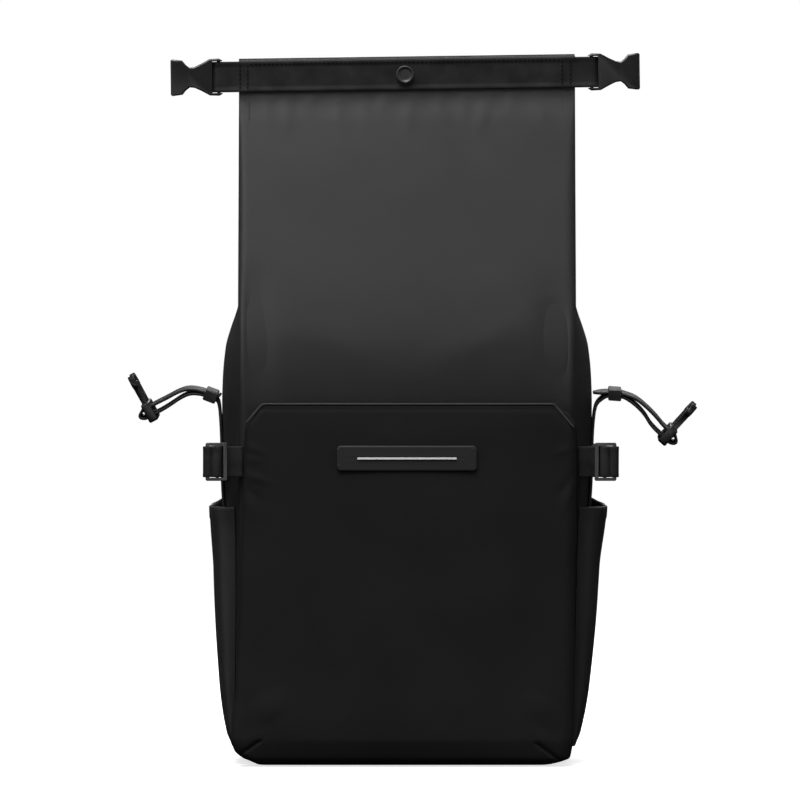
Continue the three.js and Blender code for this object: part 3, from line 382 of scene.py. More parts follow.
# Small puckers hang from the seam under the mouth band. They differ in length and slant.
pucker_top = 562
for number, x in enumerate(range(-122, 130, 21)):
    foot = pucker_top - 22 - 9 * math.sin(2.3 * number)
    slant = 7 * math.cos(1.7 * number)
    sleeve_folds.append({"x": x, "z": pucker_top, "to_x": x + slant, "to_z": foot, "wide": 5, "high": 0.7})
sack_marks = round_corners(84, 26, 4)
outer_up = np.concatenate(
    [np.linspace(0, 0.05, 10)[:-1], np.linspace(0.05, 0.5, 40)[:-1], np.linspace(0.5, 1, 110)]
)
sack_outer = sack_loops(sack_marks, outer_up, 0)
facing_front = sack_marks[:, 3] < -0.99
sack_outer[:, facing_front] = dented(sack_outer[:, facing_front], sleeve_folds, (0, -1, 0))
inner_up = np.linspace(1, 0.008, 60)
sack_inner = sack_loops(sack_marks, inner_up, cloth_wall)
sack_skin = vessel("sack_skin", settled(sack_outer), settled(sack_inner), 0.3 * mm)
seated(sack_skin, "sack_cloth", sack_cloth, "sack")

# Front pocket
# A flat pocket the width of the bag, its face cut from smooth coated cloth over thin foam. Its top edge
# is bound in a narrow hem with cut-off corners, and a dart in each lower corner rounds the foam under.
pocket_low, pocket_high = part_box("front_pocket")
pocket_height = pocket_high.z
pocket_width = 284 * mm
pocket_depth = 27 * mm
pocket_corner = 10 * mm
pocket_back = pocket_high.y
pad_wall = 4 * mm
pocket_side_wall = 2.2 * mm
pocket_floor = 2.4 * mm

# left and right are shares of half the width, depth and crown shares of the depth.
pocket_rows = [
    {"up": 0, "left": 0.85, "right": 0.84, "depth": 0.72, "crown": 0.02},
    {"up": 0.014, "left": 0.9, "right": 0.935, "depth": 0.86, "crown": 0.05},
    {"up": 0.024, "left": 0.95, "right": 0.98, "depth": 0.93, "crown": 0.07},
    {"up": 0.045, "left": 1, "right": 0.99, "depth": 0.97, "crown": 0.1},
    {"up": 0.08, "left": 1.02, "right": 1, "depth": 1, "crown": 0.15},
    {"up": 0.2, "left": 1, "right": 1, "depth": 1, "crown": 0.2},
    {"up": 0.4, "left": 0.985, "right": 1, "depth": 1, "crown": 0.22},
    {"up": 0.62, "left": 0.975, "right": 1, "depth": 0.95, "crown": 0.2},
    {"up": 0.85, "left": 0.96, "right": 1.005, "depth": 0.82, "crown": 0.16},
    {"up": 0.93, "left": 0.955, "right": 1, "depth": 0.75, "crown": 0.14},
    {"up": 0.97, "left": 0.915, "right": 0.955, "depth": 0.7, "crown": 0.12},
    {"up": 1, "left": 0.868, "right": 0.89, "depth": 0.66, "crown": 0.1},
]


def pocket_loops(marks, up, inside):
    """Levels of the front pocket. Its face is crowned from side to side."""
    reach = pocket_width / 2
    left = -reach * read_column(pocket_rows, "left", up) + inside * pocket_side_wall
    right = reach * read_column(pocket_rows, "right", up) - inside * pocket_side_wall
    deep = read_column(pocket_rows, "depth", up)
    front = pocket_back - pocket_depth * deep + inside * pad_wall
    back = pocket_back - inside * cloth_wall + 0 * up
    radius = (pocket_corner - inside * pad_wall) * deep
    level = np.maximum(pocket_height * up, pocket_low.z + inside * pocket_floor)
    rows = loops(marks, left, right, front, back, radius, level)
    aside = (rows[..., 0] - ((left + right) / 2)[:, None]) / ((right - left) / 2)[:, None]
    share = np.clip((back[:, None] - rows[..., 1]) / (back - front)[:, None], 0, 1)
    crown = pocket_depth * read_column(pocket_rows, "crown", up)[:, None]
    rows[..., 1] -= crown * (1 - aside**2) * share
    return rows


def pocket_face(x, z):
    """How far forward the face of the front pocket stands at a place on it."""
    up = np.asarray(z, float) / pocket_height
    left = read_column(pocket_rows, "left", up)
    right = read_column(pocket_rows, "right", up)
    middle = pocket_width / 4 * (right - left)
    aside = (x - middle) / (pocket_width / 4 * (right + left))
    deep = read_column(pocket_rows, "depth", up) + read_column(pocket_rows, "crown", up) * (1 - aside**2)
    return pocket_back - pocket_depth * deep


pocket_folds = [
    # The side straps pull the foam into short ridges at both edges.
    {"x": -137, "z": 270, "to_x": -118, "to_z": 262, "wide": 3.2, "high": 0.6},
    {"x": -138, "z": 258, "to_x": -122, "to_z": 256, "wide": 3, "high": 0.5},
    {"x": -138, "z": 246, "to_x": -114, "to_z": 238, "wide": 3.4, "high": 0.7},
    {"x": -138, "z": 236, "to_x": -120, "to_z": 222, "wide": 3, "high": -0.5},
    {"x": -138, "z": 226, "to_x": -124, "to_z": 208, "wide": 4, "high": 0.5},
    {"x": 139, "z": 268, "to_x": 124, "to_z": 262, "wide": 3.4, "high": 0.5},
    {"x": 139, "z": 245, "to_x": 126, "to_z": 226, "wide": 3.2, "high": -0.6},
    {"x": 139, "z": 236, "to_x": 131, "to_z": 214, "wide": 3.2, "high": 0.7},
    # Slow swells of the foam.
    {"x": -120, "z": 60, "to_x": -108, "to_z": 40, "wide": 16, "high": 1.2},
    {"x": 118, "z": 60, "to_x": 106, "to_z": 40, "wide": 16, "high": 0.9},
    {"x": -116, "z": 150, "to_x": -114, "to_z": 95, "wide": 13, "high": 0.6},
    {"x": -60, "z": 272, "to_x": 60, "to_z": 276, "wide": 12, "high": 0.7},
    # Darts.
    {"x": -121, "z": 22, "to_x": -139, "to_z": 9, "wide": 1.1, "high": -1.8, "fade": False},
    {"x": 111, "z": 20, "to_x": 133, "to_z": 4, "wide": 1.1, "high": -1.8, "fade": False},
    {"x": -119, "z": 31, "to_x": -134, "to_z": 20, "wide": 6, "high": 0.4},
    {"x": 109, "z": 30, "to_x": 128, "to_z": 15, "wide": 6, "high": 0.4},
    # Hem below the top edge.
    {"x": -121, "z": 299.5, "to_x": 122, "to_z": 299.5, "wide": 1.2, "high": -0.5, "fade": False},
    {"x": -121, "z": 299.5, "to_x": -134, "to_z": 286, "wide": 1.2, "high": -0.5, "fade": False},
    {"x": 122, "z": 299.5, "to_x": 140, "to_z": 281, "wide": 1.2, "high": -0.5, "fade": False},
    {"x": -124, "z": 304.6, "to_x": 126, "to_z": 304.6, "wide": 1.7, "high": -2, "fade": False},
]
# Painted light and shade: the panel's tone and gloss are raised near its foot and fall towards its top, where
# the lamps alone leave it too pale.
panel_painted_shading = (0.05, 0.3, 1.1, 0.68)
panel_tone = (0.0215, 0.0215, 0.0215)
panel_cloth = coated_twill("panel_coating", panel_tone, 0.6, 0, 0.25, gloss=0.03, fade=panel_painted_shading)

pocket_marks = round_corners(150, 8, 7)
pocket_up = np.concatenate(
    [np.linspace(0, 0.12, 40)[:-1], np.linspace(0.12, 0.7, 70)[:-1], np.linspace(0.7, 1, 69)]
)
pocket_outer = pocket_loops(pocket_marks, pocket_up, 0)
faced = pocket_marks[:, 3] < -0.3
pocket_outer[:, faced] = dented(pocket_outer[:, faced], pocket_folds, (0, -1, 0))
pocket_inner_low = (pocket_low.z + pocket_floor) / pocket_height
pocket_inner = pocket_loops(pocket_marks, np.linspace(1, pocket_inner_low, 24), 1)
pocket_skin = vessel("front_pocket_skin", settled(pocket_outer), settled(pocket_inner), 0.7 * mm)
seated(pocket_skin, "panel_cloth", panel_cloth, "front_pocket")

# Side pockets
# Each is one piece of the sack's cloth, sewn along a front and a back seam and gathered into the base.
# Its upper edge is turned over into a hem and gapes a little from the gusset behind it.
side_pocket_height = 216 * mm
side_pocket_reach = 22.5 * mm
side_pocket_span = 88 * mm
side_pocket_rise = 10 * mm
# left and right are shares of the reach, for the right pocket gapes more than the left one.
side_pocket_rows = [
    {"up": 0.07, "left": 0.21, "right": 0.19},
    {"up": 0.124, "left": 0.33, "right": 0.3},
    {"up": 0.2, "left": 0.48, "right": 0.45},
    {"up": 0.31, "left": 0.62, "right": 0.6},
    {"up": 0.54, "left": 0.78, "right": 0.78},
    {"up": 0.78, "left": 0.88, "right": 0.9},
    {"up": 1, "left": 0.95, "right": 1.07},
]
side_pocket_boxiness = 0.55


def sack_side(level, y):
    """How far the gusset stands from the middle of the bag."""
    reach, front, back, radius, swell = sack_sides(np.asarray(level, float) / bag_height)
    share = np.clip((y - front - radius) / (back - front - 2 * radius), 0, 1)
    return reach + swell * np.sin(math.pi * share)


def side_pocket_wall(side_name, side, up, inset):
    """Rows of a side pocket's wall, from its front seam round to its back seam."""
    angle = np.linspace(0, math.pi, 71)[None, :]
    up = up[:, None]
    half_span = side_pocket_span / 2
    out = side_pocket_reach * read_column(side_pocket_rows, side_name, up) - inset
    boxed = np.sin(angle) ** side_pocket_boxiness
    y = -(half_span - inset) * np.sign(np.cos(angle)) * np.abs(np.cos(angle)) ** side_pocket_boxiness
    level = side_pocket_height * up + side_pocket_rise * up * (1 - boxed) * (y > 0)
    x = sack_side(level, half_span - 2 * cloth_wall) + clear + out * boxed
    ripple = 0.5 * mm * np.sin(9 * angle + 14 * up) * up**2 * np.sin(angle)
    return np.stack([side * (x + ripple), y + 0 * x, level], -1)


side_pocket_cloth = coated_twill("side_pocket_twill", (0.025, 0.025, 0.025), 0.5, 0.03, 0.8)
for side_name, side in [("left", -1), ("right", 1)]:
    up = np.linspace(side_pocket_rows[0]["up"], 1, 90)
    hem = 0.5 * mm * (up > 0.955)
    wall = side_pocket_wall(side_name, side, up, 0)
    wall[..., 0] += side * hem[:, None]
    lining = side_pocket_wall(side_name, side, up[::-3], cloth_wall)
    rim = (wall[-1:] + lining[:1]) / 2 + np.array([0, 0, 0.5 * mm])
    rows = np.concatenate([wall, rim, lining])
    pocket = lofted("side_pocket_%s_cloth" % side_name, settled(rows), around=False)
    seated(pocket, "sack_cloth", side_pocket_cloth, "side_pocket_" + side_name)

# Mouth band
# A strip of flat webbing crosses the front of the mouth. Each end is folded round the bar of a buckle
# and sewn down with two rows of stitches. Behind the mouth a plain hem stands a little higher.
web_width = 26 * mm
web_thick = 1.6 * mm


def cleaned(node):
    """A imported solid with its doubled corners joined."""
    body = bmesh.new()
    body.from_mesh(solids[node].data)
    bmesh.ops.remove_doubles(body, verts=body.verts, dist=0.01 * mm)
    body.normal_update()
    return body


def strap_line(node):
    """The middle line of a packed strap and its direction across, read ring by ring from one end. The
    corners of its ends join the fewest edges."""
    body = cleaned(node)
    body.verts.index_update()
    ends = {v for v in body.verts if len(v.link_edges) < 6}
    ring = {min(ends, key=lambda v: (len(v.link_edges), v.index))}
    for _ in range(2):
        ring |= {edge.other_vert(v) for v in ring for edge in v.link_edges} & ends
    rings = []
    seen = set()
    while ring:
        rings.append([v.co[:] for v in sorted(ring, key=lambda v: v.index)])
        seen |= ring
        ring = {edge.other_vert(v) for v in ring for edge in v.link_edges} - seen
    body.free()
    corners = np.array(rings)
    line = corners.mean(axis=1)
    across = []
    for ring, middle in zip(corners, line):
        long_way = np.linalg.svd(ring - middle)[2][0]
        across.append(-long_way if across and long_way @ across[-1] < 0 else long_way)
    return line, np.array(across)


def evenly(rows, step):
    """Rows that begin with a place, smoothed by cutting their corners, then divided into even steps."""
    for _ in range(2):
        cut = np.stack([0.75 * rows[:-1] + 0.25 * rows[1:], 0.25 * rows[:-1] + 0.75 * rows[1:]], 1)
        rows = np.concatenate([rows[:1], cut.reshape(-1, rows.shape[1]), rows[-1:]])
    run = np.concatenate([[0], np.cumsum(np.linalg.norm(np.diff(rows[:, :3], axis=0), axis=1))])
    at = np.linspace(0, run[-1], max(3, int(run[-1] / step)))
    return np.stack([np.interp(at, run, column) for column in rows.T], 1), at


def webbing(name, line, across, width=web_width, thick=web_thick, selvedge=0.1 * mm):
    """Webbing along a line: round edges, a border a little proud of the middle, UVs in metres."""
    rows, run = evenly(np.hstack([line, np.broadcast_to(across, line.shape)]), 1.6 * mm)
    line, across = rows[:, :3], rows[:, 3:]
    along = np.gradient(line, axis=0)
    along /= np.linalg.norm(along, axis=1)[:, None]
    side = across - np.sum(along * across, axis=1)[:, None] * along
    side /= np.linalg.norm(side, axis=1)[:, None]
    out = np.cross(along, side)
    flat = width / 2 - thick / 2
    share = np.linspace(-1, 1, 17)
    proud = selvedge * (np.abs(share) > 0.8)
    bend = np.radians([60, 25, -25, -60])
    edge_w = flat + thick / 2 * np.cos(bend)
    edge_n = thick / 2 * np.sin(bend)
    w = np.concatenate([flat * share, edge_w, flat * share[::-1], -edge_w])
    n = np.concatenate([thick / 2 - selvedge + proud, edge_n, selvedge - thick / 2 - proud, -edge_n])
    rows = line[:, None] + side[:, None] * w[:, None] + out[:, None] * n[:, None]
    strip = lofted(name, rows)
    place = np.stack([np.repeat(run, len(w)), np.tile(w, len(run))], 1)
    place = np.concatenate([place, [[run[0], 0], [run[-1], 0]]])
    corners = np.zeros(len(strip.data.loops), int)
    strip.data.loops.foreach_get("vertex_index", corners)
    layer = strip.data.uv_layers.new(name="along_and_across")
    layer.data.foreach_set("uv", place[corners].ravel())
    return strip


def woven_strap(name, tone, rough, relief):
    """Flat woven webbing: ribs across the strap, crossed by finer warp threads along it."""
    finish = bpy.data.materials.new(name)
    finish.use_nodes = True
    nodes = finish.node_tree.nodes
    link = finish.node_tree.links.new
    shader = nodes["Principled BSDF"]
    shader.inputs["Roughness"].default_value = rough
    shader.inputs["Specular IOR Level"].default_value = 0.2
    shader.inputs["Sheen Weight"].default_value = 0.01
    shader.inputs["Sheen Roughness"].default_value = 0.5
    place = nodes.new("ShaderNodeUVMap")
    place.uv_map = "along_and_across"
    ribs = nodes.new("ShaderNodeTexWave")
    ribs.bands_direction = "X"
    ribs.inputs["Scale"].default_value = 2 * math.pi / (20 * 0.9 * mm)
    ribs.inputs["Distortion"].default_value = 0.8
    warp = nodes.new("ShaderNodeTexWave")
    warp.bands_direction = "Y"
    warp.inputs["Scale"].default_value = 2 * math.pi / (20 * 0.7 * mm)
    both = nodes.new("ShaderNodeMath")
    both.operation = "MULTIPLY"
    bump = nodes.new("ShaderNodeBump")
    bump.inputs["Strength"].default_value = relief
    bump.inputs["Distance"].default_value = 0.2 * mm
    wear = nodes.new("ShaderNodeTexNoise")
    wear.inputs["Scale"].default_value = 60
    tones = nodes.new("ShaderNodeValToRGB")
    tones.color_ramp.elements[0].position = 0.35
    tones.color_ramp.elements[1].position = 0.7
    tones.color_ramp.elements[0].color = (*[t * 0.7 for t in tone], 1)
    tones.color_ramp.elements[1].color = (*[t * 1.5 for t in tone], 1)
    link(place.outputs["UV"], ribs.inputs["Vector"])
    link(place.outputs["UV"], warp.inputs["Vector"])
    link(place.outputs["UV"], wear.inputs["Vector"])
    link(wear.outputs["Fac"], tones.inputs["Fac"])
    link(tones.outputs["Color"], shader.inputs["Base Color"])
    link(ribs.outputs["Fac"], both.inputs[0])
    link(warp.outputs["Fac"], both.inputs[1])
    link(both.outputs["Value"], bump.inputs["Height"])
    link(bump.outputs["Normal"], shader.inputs["Normal"])
    return finish


def stitched(name, lines, finish, out, long=2.2 * mm, apart=1.1 * mm, thick=0.55 * mm):
    """Rows of stitches lying on the cloth, each a short thread that dips in at both ends."""
    ends = np.array([-1, -0.7, 0, 0.7, 1])
    swell = np.array([0.2, 0.8, 1, 0.8, 0.2])
    ring = np.radians(np.arange(0, 360, 60))
    out = np.array(out, float)
    points, faces = [], []
    for line in lines:
        run = np.concatenate([[0], np.cumsum(np.linalg.norm(np.diff(line, axis=0), axis=1))])
        for start in np.arange(apart / 2, run[-1] - long * 0.9, long + apart):
            two = np.stack([np.interp([start, start + long], run, line[:, axis]) for axis in range(3)], 1)
            along = (two[1] - two[0]) / np.linalg.norm(two[1] - two[0])
            side = np.cross(along, out)
            first = len(points)
            for t, big in zip(ends, swell):
                for angle in ring:
                    spread = side * math.cos(angle) + out * math.sin(angle)
                    points.append(two.mean(0) + along * t * long / 2 + spread * big * thick / 2)
            for k in range(len(ends) - 1):
                for j in range(6):
                    here = first + 6 * k
                    faces.append([here + j, here + (j + 1) % 6, here + 6 + (j + 1) % 6, here + 6 + j])
            faces.append([first + j for j in range(6)][::-1])
            faces.append([first + 24 + j for j in range(6)])
    mesh = bpy.data.meshes.new(name)
    mesh.from_pydata([tuple(p) for p in points], [], faces)
    mesh.shade_smooth()
    threads = bpy.data.objects.new(name, mesh)
    bpy.context.scene.collection.objects.link(threads)
    seated(threads, "webbing", finish)


band_weave = woven_strap("band_weave", (0.012, 0.012, 0.012), 0.5, 0.3)
strap_weave = woven_strap("strap_weave", (0.018, 0.018, 0.018), 0.6, 0.6)
thread = coated_twill("thread", (0.004, 0.004, 0.004), 0.7, 0, 0.2, 0.4 * mm, gloss=0.05)

band_line, band_across = strap_line("mouth_band")
# The folds round the bars are full and all but close the slots of the buckles.
fold_deep = 1.5 * mm
fold_full = 2.6 * mm
for side in (-1, 1):
    reach = (side * band_line[:, 0]).max()
    band_line[side * band_line[:, 0] > reach - fold_deep, 0] += side * fold_full
band = webbing("mouth_band_webbing", band_line, band_across, selvedge=0.6 * mm)
seated(band, "webbing", band_weave, "mouth_band")
hem_low, hem_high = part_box("rear_hem")
hem_middle = (hem_low + hem_high) / 2
hem_tall = hem_high.z - hem_low.z - mouth_slope * sack_width
hem_ends = (-sack_width / 2, 0, sack_width / 2)
hem_line = np.array([[x, hem_middle.y, hem_middle.z + x * mouth_slope] for x in hem_ends])
rear_hem = webbing("rear_hem_webbing", hem_line, np.array([0, 0, 1.0]), width=hem_tall)
seated(rear_hem, "webbing", band_weave, "rear_hem")

band_low, band_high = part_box("mouth_band")
band_front = band_low.y
band_level = (band_low.z + band_high.z) / 2


def on_band(x, up):
    """A place on the front of the band, up from its middle."""
    return [x, band_front - 0.1 * mm, band_level + up + x * mouth_slope]


seam_half = 11 * mm
long_seam_up = 10.4 * mm
band_seams = []
for x in (-140.9, -134.4, 131, 138.1):
    band_seams.append(np.array([on_band(x * mm, -seam_half), on_band(x * mm, seam_half)]))
band_seams.append(np.array([on_band(-133 * mm, long_seam_up), on_band(130 * mm, long_seam_up)]))
stitched("band_stitches", band_seams, thread, (0, -1, 0), 1.9 * mm, 1.7 * mm, 1.1 * mm)
sleeve_seams = []
for x, top, bottom in [(-133.2, 557.5, 541), (131.5, 559, 543)]:
    up = np.array([top, bottom]) * mm / bag_height
    front = sack_sides(up)[1]
    sleeve_seams.append(np.stack([[x * mm, x * mm], front - 0.1 * mm, bag_height * up], 1))
stitched("sleeve_stitches", sleeve_seams, thread, (0, -1, 0), 1.6 * mm, 0.9 * mm, 0.5 * mm)

# Hem of the front pocket
# A narrow turned edge of the pocket's cloth runs along its top and its cut-off corners. Its lighter tone is a
# painted highlight along the rolled edge.
hem_highlight_cloth = coated_twill("hem_highlight_cloth", (0.05, 0.05, 0.05), 0.5, 0.03, 0.3, 0.8 * mm)
hem_corners = [
    {"x": -135, "z": 287.5},
    {"x": -121.5, "z": 303.2},
    {"x": -119, "z": 303.6},
    {"x": 121, "z": 303.6},
    {"x": 123.5, "z": 303.2},
    {"x": 139.5, "z": 284},
]
hem_steps = np.linspace(0, len(hem_corners) - 1, 61)
hem_x = np.interp(hem_steps, range(len(hem_corners)), [corner["x"] * mm for corner in hem_corners])
hem_z = np.interp(hem_steps, range(len(hem_corners)), [corner["z"] * mm for corner in hem_corners])
hem_edge = settled(np.stack([hem_x, pocket_face(hem_x, hem_z) + 0.1 * mm, hem_z], 1))
pocket_hem = webbing("pocket_hem", hem_edge, np.array([0, 0, 1.0]), 1.3 * mm, 0.8 * mm, 0)
seated(pocket_hem, "panel_cloth", hem_highlight_cloth)

# Snap
# A dished cap of painted metal with a raised ring, pressed through the middle of the band.
snap_low, snap_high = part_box("snap_cap")
snap_centre = (snap_low + snap_high) / 2
snap_radius = (snap_high.x - snap_low.x) / 2
snap_tall = snap_high.y - snap_low.y


def satin(name, tone, rough, grain, relief):
    """Moulded or painted surfaces: an even satin with a fine grain and slightly uneven gloss."""
    finish = bpy.data.materials.new(name)
    finish.use_nodes = True
    nodes = finish.node_tree.nodes
    link = finish.node_tree.links.new
    shader = nodes["Principled BSDF"]
    shader.inputs["Specular IOR Level"].default_value = 0.5
    place = nodes.new("ShaderNodeTexCoord")
    speckle = nodes.new("ShaderNodeTexNoise")
    speckle.inputs["Scale"].default_value = 1 / grain
    speckle.inputs["Detail"].default_value = 4
    tones = nodes.new("ShaderNodeValToRGB")
    tones.color_ramp.elements[0].color = (*[t * 0.85 for t in tone], 1)
    tones.color_ramp.elements[1].color = (*[t * 1.15 for t in tone], 1)
    gloss = nodes.new("ShaderNodeMapRange")
    gloss.inputs["To Min"].default_value = rough * 0.85
    gloss.inputs["To Max"].default_value = rough * 1.15
    bump = nodes.new("ShaderNodeBump")
    bump.inputs["Strength"].default_value = relief
    bump.inputs["Distance"].default_value = 0.1 * mm
    link(place.outputs["Object"], speckle.inputs["Vector"])
    link(speckle.outputs["Fac"], tones.inputs["Fac"])
    link(tones.outputs["Color"], shader.inputs["Base Color"])
    link(speckle.outputs["Fac"], gloss.inputs["Value"])
    link(gloss.outputs["Result"], shader.inputs["Roughness"])
    link(speckle.outputs["Fac"], bump.inputs["Height"])
    link(bump.outputs["Normal"], shader.inputs["Normal"])
    return finish


snap_paint = satin("snap_paint", (0.022, 0.022, 0.023), 0.38, 0.6 * mm, 0.1)
snap_profile = [
    {"out": 0.96, "up": 0},
    {"out": 1, "up": 0.25},
    {"out": 1, "up": 0.55},
    {"out": 0.97, "up": 0.82},
    {"out": 0.92, "up": 0.96},
    {"out": 0.86, "up": 1},
    {"out": 0.8, "up": 0.93},
    {"out": 0.75, "up": 0.76},
    {"out": 0.7, "up": 0.56},
    {"out": 0.62, "up": 0.47},
    {"out": 0.3, "up": 0.43},
    {"out": 0.04, "up": 0.42},
]
snap_turn = np.linspace(0, 2 * math.pi, 56, endpoint=False)
snap_rows = np.array(
    [
        [
            [
                snap_centre.x + snap_radius * row["out"] * math.cos(angle),
                snap_high.y - snap_tall * row["up"],
                snap_centre.z + snap_radius * row["out"] * math.sin(angle),
            ]
            for angle in snap_turn
        ]
        for row in snap_profile
    ]
)
seated(lofted("snap_cap_painted", snap_rows), "snap", snap_paint, "snap_cap")

# Buckles and sliders
# All are moulded in satin black plastic with softened edges: the two open buckle bodies on the band,
# their plugs on the roll straps, the glossier sliders of the side straps and the adjusters at the back.
buckle_plastic = satin("buckle_plastic", (0.0095, 0.0095, 0.0095), 0.3, 0.5 * mm, 0.12)
# The sliders' paler tone is a painted highlight on their frames; their lower roughness makes them glossier.
slider_plastic = satin("slider_plastic", (0.03, 0.03, 0.03), 0.22, 0.5 * mm, 0.1)


def softened(node, edge, slot, finish):
    """A packed moulding with every sharp edge rounded."""
    body = cleaned(node)
    bmesh.ops.dissolve_limit(body, angle_limit=math.radians(2), verts=body.verts, edges=body.edges)
    mesh = bpy.data.meshes.new(node + "_moulded")
    body.to_mesh(mesh)
    body.free()
    mesh.shade_smooth()
    piece = bpy.data.objects.new(node + "_moulded", mesh)
    bpy.context.scene.collection.objects.link(piece)
    rounding = piece.modifiers.new("rounding", "BEVEL")
    rounding.width = edge
    rounding.segments = 3
    rounding.limit_method = "ANGLE"
    rounding.angle_limit = math.radians(38)
    rounding.harden_normals = True
    seated(piece, slot, finish, node)


for side_name in ("left", "right"):
    softened("buckle_body_" + side_name, 0.45 * mm, "buckle_plastic", buckle_plastic)
    softened("roll_plug_" + side_name, 0.4 * mm, "buckle_plastic", buckle_plastic)
    softened("side_slider_" + side_name, 0.3 * mm, "buckle_plastic", slider_plastic)
    softened("strap_adjuster_" + side_name, 0.4 * mm, "buckle_plastic", buckle_plastic)

# Side and roll straps
# Flat webbing. A side strap leaves the pocket's seam, is laced through its slider and goes back round
# the gusset. A roll strap is a loop that carries a plug, with its two layers held in a webbing keeper.
keeper_cloth = coated_twill("keeper_cloth", (0.02, 0.02, 0.02), 0.6, 0.02, 0.5, 0.9 * mm)
strap_thickness = {"side_strap_": web_thick, "roll_strap_": 2.3 * mm, "lower_webbing_": web_thick}
for side_name in ("left", "right"):
    for strap_name, thick in strap_thickness.items():
        line, across = strap_line(strap_name + side_name)
        strap = webbing(strap_name + side_name + "_woven", line, across, thick=thick)
        seated(strap, "webbing", strap_weave, strap_name + side_name)
    softened("strap_keeper_" + side_name, 0.5 * mm, "webbing", keeper_cloth)

# Label patch
# A smooth rubbery patch with round corners, tacked to the face of the pocket at its four corners. A
# thin pale line runs along its middle.
label_low, label_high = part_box("label_patch")
stripe_low, stripe_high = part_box("label_stripe")
label_rubber = satin("label_rubber", (0.004, 0.004, 0.004), 0.62, 0.4 * mm, 0.15)
pale_paint = satin("pale_line", (0.82, 0.82, 0.8), 0.4, 0.4 * mm, 0.05)


def face_patch(name, low, high, corner, lift, thick, edge, finish, slot, node):
    """A thin patch that follows the dressed face of the pocket, its rim rolled down to the cloth."""
    middle = (low + high) / 2
    half = np.array([high.x - low.x, high.z - low.z]) / 2
    turn = np.radians(np.arange(0, 360, 9) + 4.5)
    out = np.stack([np.cos(turn), np.sin(turn)], 1)
    rows = []
    for inset, up in [(0, 0), (0, 0.55), (0.3, 0.86), (1, 1), (2.2, 1), (4, 0.99), (9, 0.99), (12, 0.99)]:
        size = np.clip(half - inset * edge, 0.1 * mm, None)
        radius = np.clip(corner - inset * edge, 0.05 * mm, None)
        x = middle.x + np.sign(out[:, 0]) * (size[0] - radius) + radius * out[:, 0]
        z = middle.z + np.sign(out[:, 1]) * (size[1] - radius) + radius * out[:, 1]
        flat = np.stack([x, pocket_face(x, z), z], 1)
        y = dented(flat, pocket_folds, (0, -1, 0))[:, 1] - lift - thick * up
        rows.append(np.stack([x, y, z], 1))
    seated(lofted(name, np.array(rows)), slot, finish, node)


label_thick = 1.6 * mm
label_corner = 3.4 * mm
label_edge = 0.9 * mm
face_patch(
    "label_rubber_patch", label_low, label_high, label_corner, clear, label_thick, label_edge,
    label_rubber, "label_rubber", "label_patch",
)
line_lift = 2.2 * mm
line_thick = 0.5 * mm
line_corner = 0.5 * mm
line_edge = 0.06 * mm
face_patch(
    "label_pale_line", stripe_low, stripe_high, line_corner, line_lift, line_thick, line_edge,
    pale_paint, "pale_stripe", "label_stripe",
)
tack_thread = coated_twill("tack_thread", (0.06, 0.06, 0.06), 0.6, 0.02, 0.2, 0.4 * mm)
tack_lift = clear + label_thick + 0.1 * mm
tack_places = [
    {"x": -58, "z": 267, "to_x": -56, "to_z": 265},
    {"x": -58, "z": 252, "to_x": -56, "to_z": 254},
    {"x": 53.5, "z": 265.5, "to_x": 55.5, "to_z": 267},
    {"x": 53.5, "z": 254, "to_x": 55.5, "to_z": 252},
]
tacks = []
for tack in tack_places:
    tack_ends = np.array([[tack["x"], 0, tack["z"]], [tack["to_x"], 0, tack["to_z"]]]) * mm
    tack_ends[:, 1] = pocket_face(tack_ends[:, 0], tack_ends[:, 2]) - tack_lift
    tacks.append(tack_ends)
stitched("label_tacks", tacks, tack_thread, (0, -1, 0), 1.6 * mm, 0.4 * mm, 0.7 * mm)

# Back panel and shoulder straps
# Spacer mesh over foam. The panel is quilted to the back of the sack, and the straps are sewn into its
# upper edge and bow away from it on their way down to the webbing at the base corners.
padding_mesh = coated_twill("padding_mesh", (0.02, 0.02, 0.021), 0.8, 0.1, 0.8, 2 * mm)


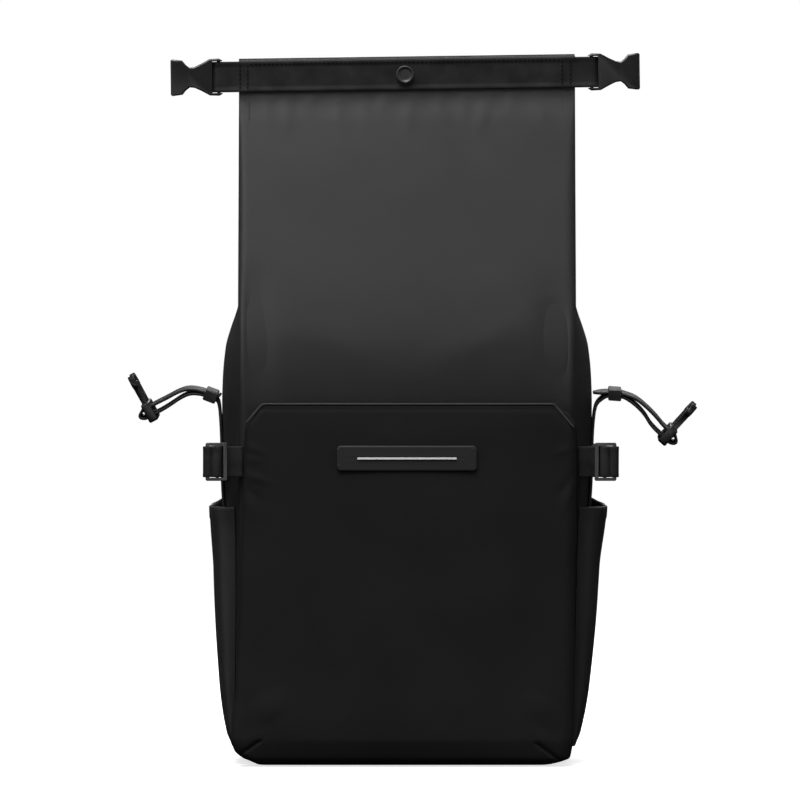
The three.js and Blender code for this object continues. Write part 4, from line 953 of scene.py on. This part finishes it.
def puffed(node, name, shrink, cap, voxel=4.5 * mm):
    """A packed pad as sewn foam: remeshed a little small, blown up as cloth, and held near its solid."""
    body = cleaned(node)
    mesh = bpy.data.meshes.new(name)
    body.to_mesh(mesh)
    body.free()
    pad = bpy.data.objects.new(name, mesh)
    bpy.context.scene.collection.objects.link(pad)
    bpy.context.view_layer.objects.active = pad
    remesh = pad.modifiers.new("even_faces", "REMESH")
    remesh.mode = "VOXEL"
    remesh.voxel_size = voxel
    shrinking = pad.modifiers.new("starts_small", "DISPLACE")
    shrinking.strength = -shrink
    shrinking.mid_level = 0
    graph = bpy.context.evaluated_depsgraph_get()
    pad.data = bpy.data.meshes.new_from_object(pad.evaluated_get(graph))
    pad.modifiers.clear()
    start = np.array([v.co for v in pad.data.vertices])
    cloth = pad.modifiers.new("foam", "CLOTH")
    cloth.settings.use_pressure = True
    cloth.settings.uniform_pressure_force = 4
    cloth.settings.effector_weights.gravity = 0
    cloth.point_cache.frame_start = 1
    cloth.point_cache.frame_end = 20
    for frame_number in range(1, 21):
        bpy.context.scene.frame_set(frame_number)
    graph = bpy.context.evaluated_depsgraph_get()
    blown = pad.evaluated_get(graph).to_mesh()
    move = np.array([v.co for v in blown.vertices]) - start
    far = np.linalg.norm(move, axis=1)[:, None]
    move *= np.minimum(1, cap / np.maximum(far, 1e-9))
    pad.modifiers.clear()
    pad.data.vertices.foreach_set("co", (start + move).ravel())
    bpy.context.scene.frame_set(1)
    smoother = pad.modifiers.new("smooth_faces", "SUBSURF")
    smoother.levels = 1
    smoother.render_levels = 1
    pad.data.shade_smooth()
    seated(pad, "padding_cloth", padding_mesh, node)


puffed("back_panel", "back_panel_pad", 1.5 * mm, 2.5 * mm)
for side_name in ("left", "right"):
    strap_node = "shoulder_strap_" + side_name
    puffed(strap_node, strap_node + "_pad", 0.4 * mm, 1.5 * mm, 3 * mm)

# Grab handle
# A stiff loop of doubled webbing sewn into the top of the back panel.
handle_line, handle_across = strap_line("grab_handle")
handle_low, handle_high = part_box("grab_handle")
handle_wide = handle_high.y - handle_low.y
handle = webbing("grab_handle_woven", handle_line, handle_across, width=handle_wide, thick=3 * mm)
seated(handle, "webbing", strap_weave, "grab_handle")
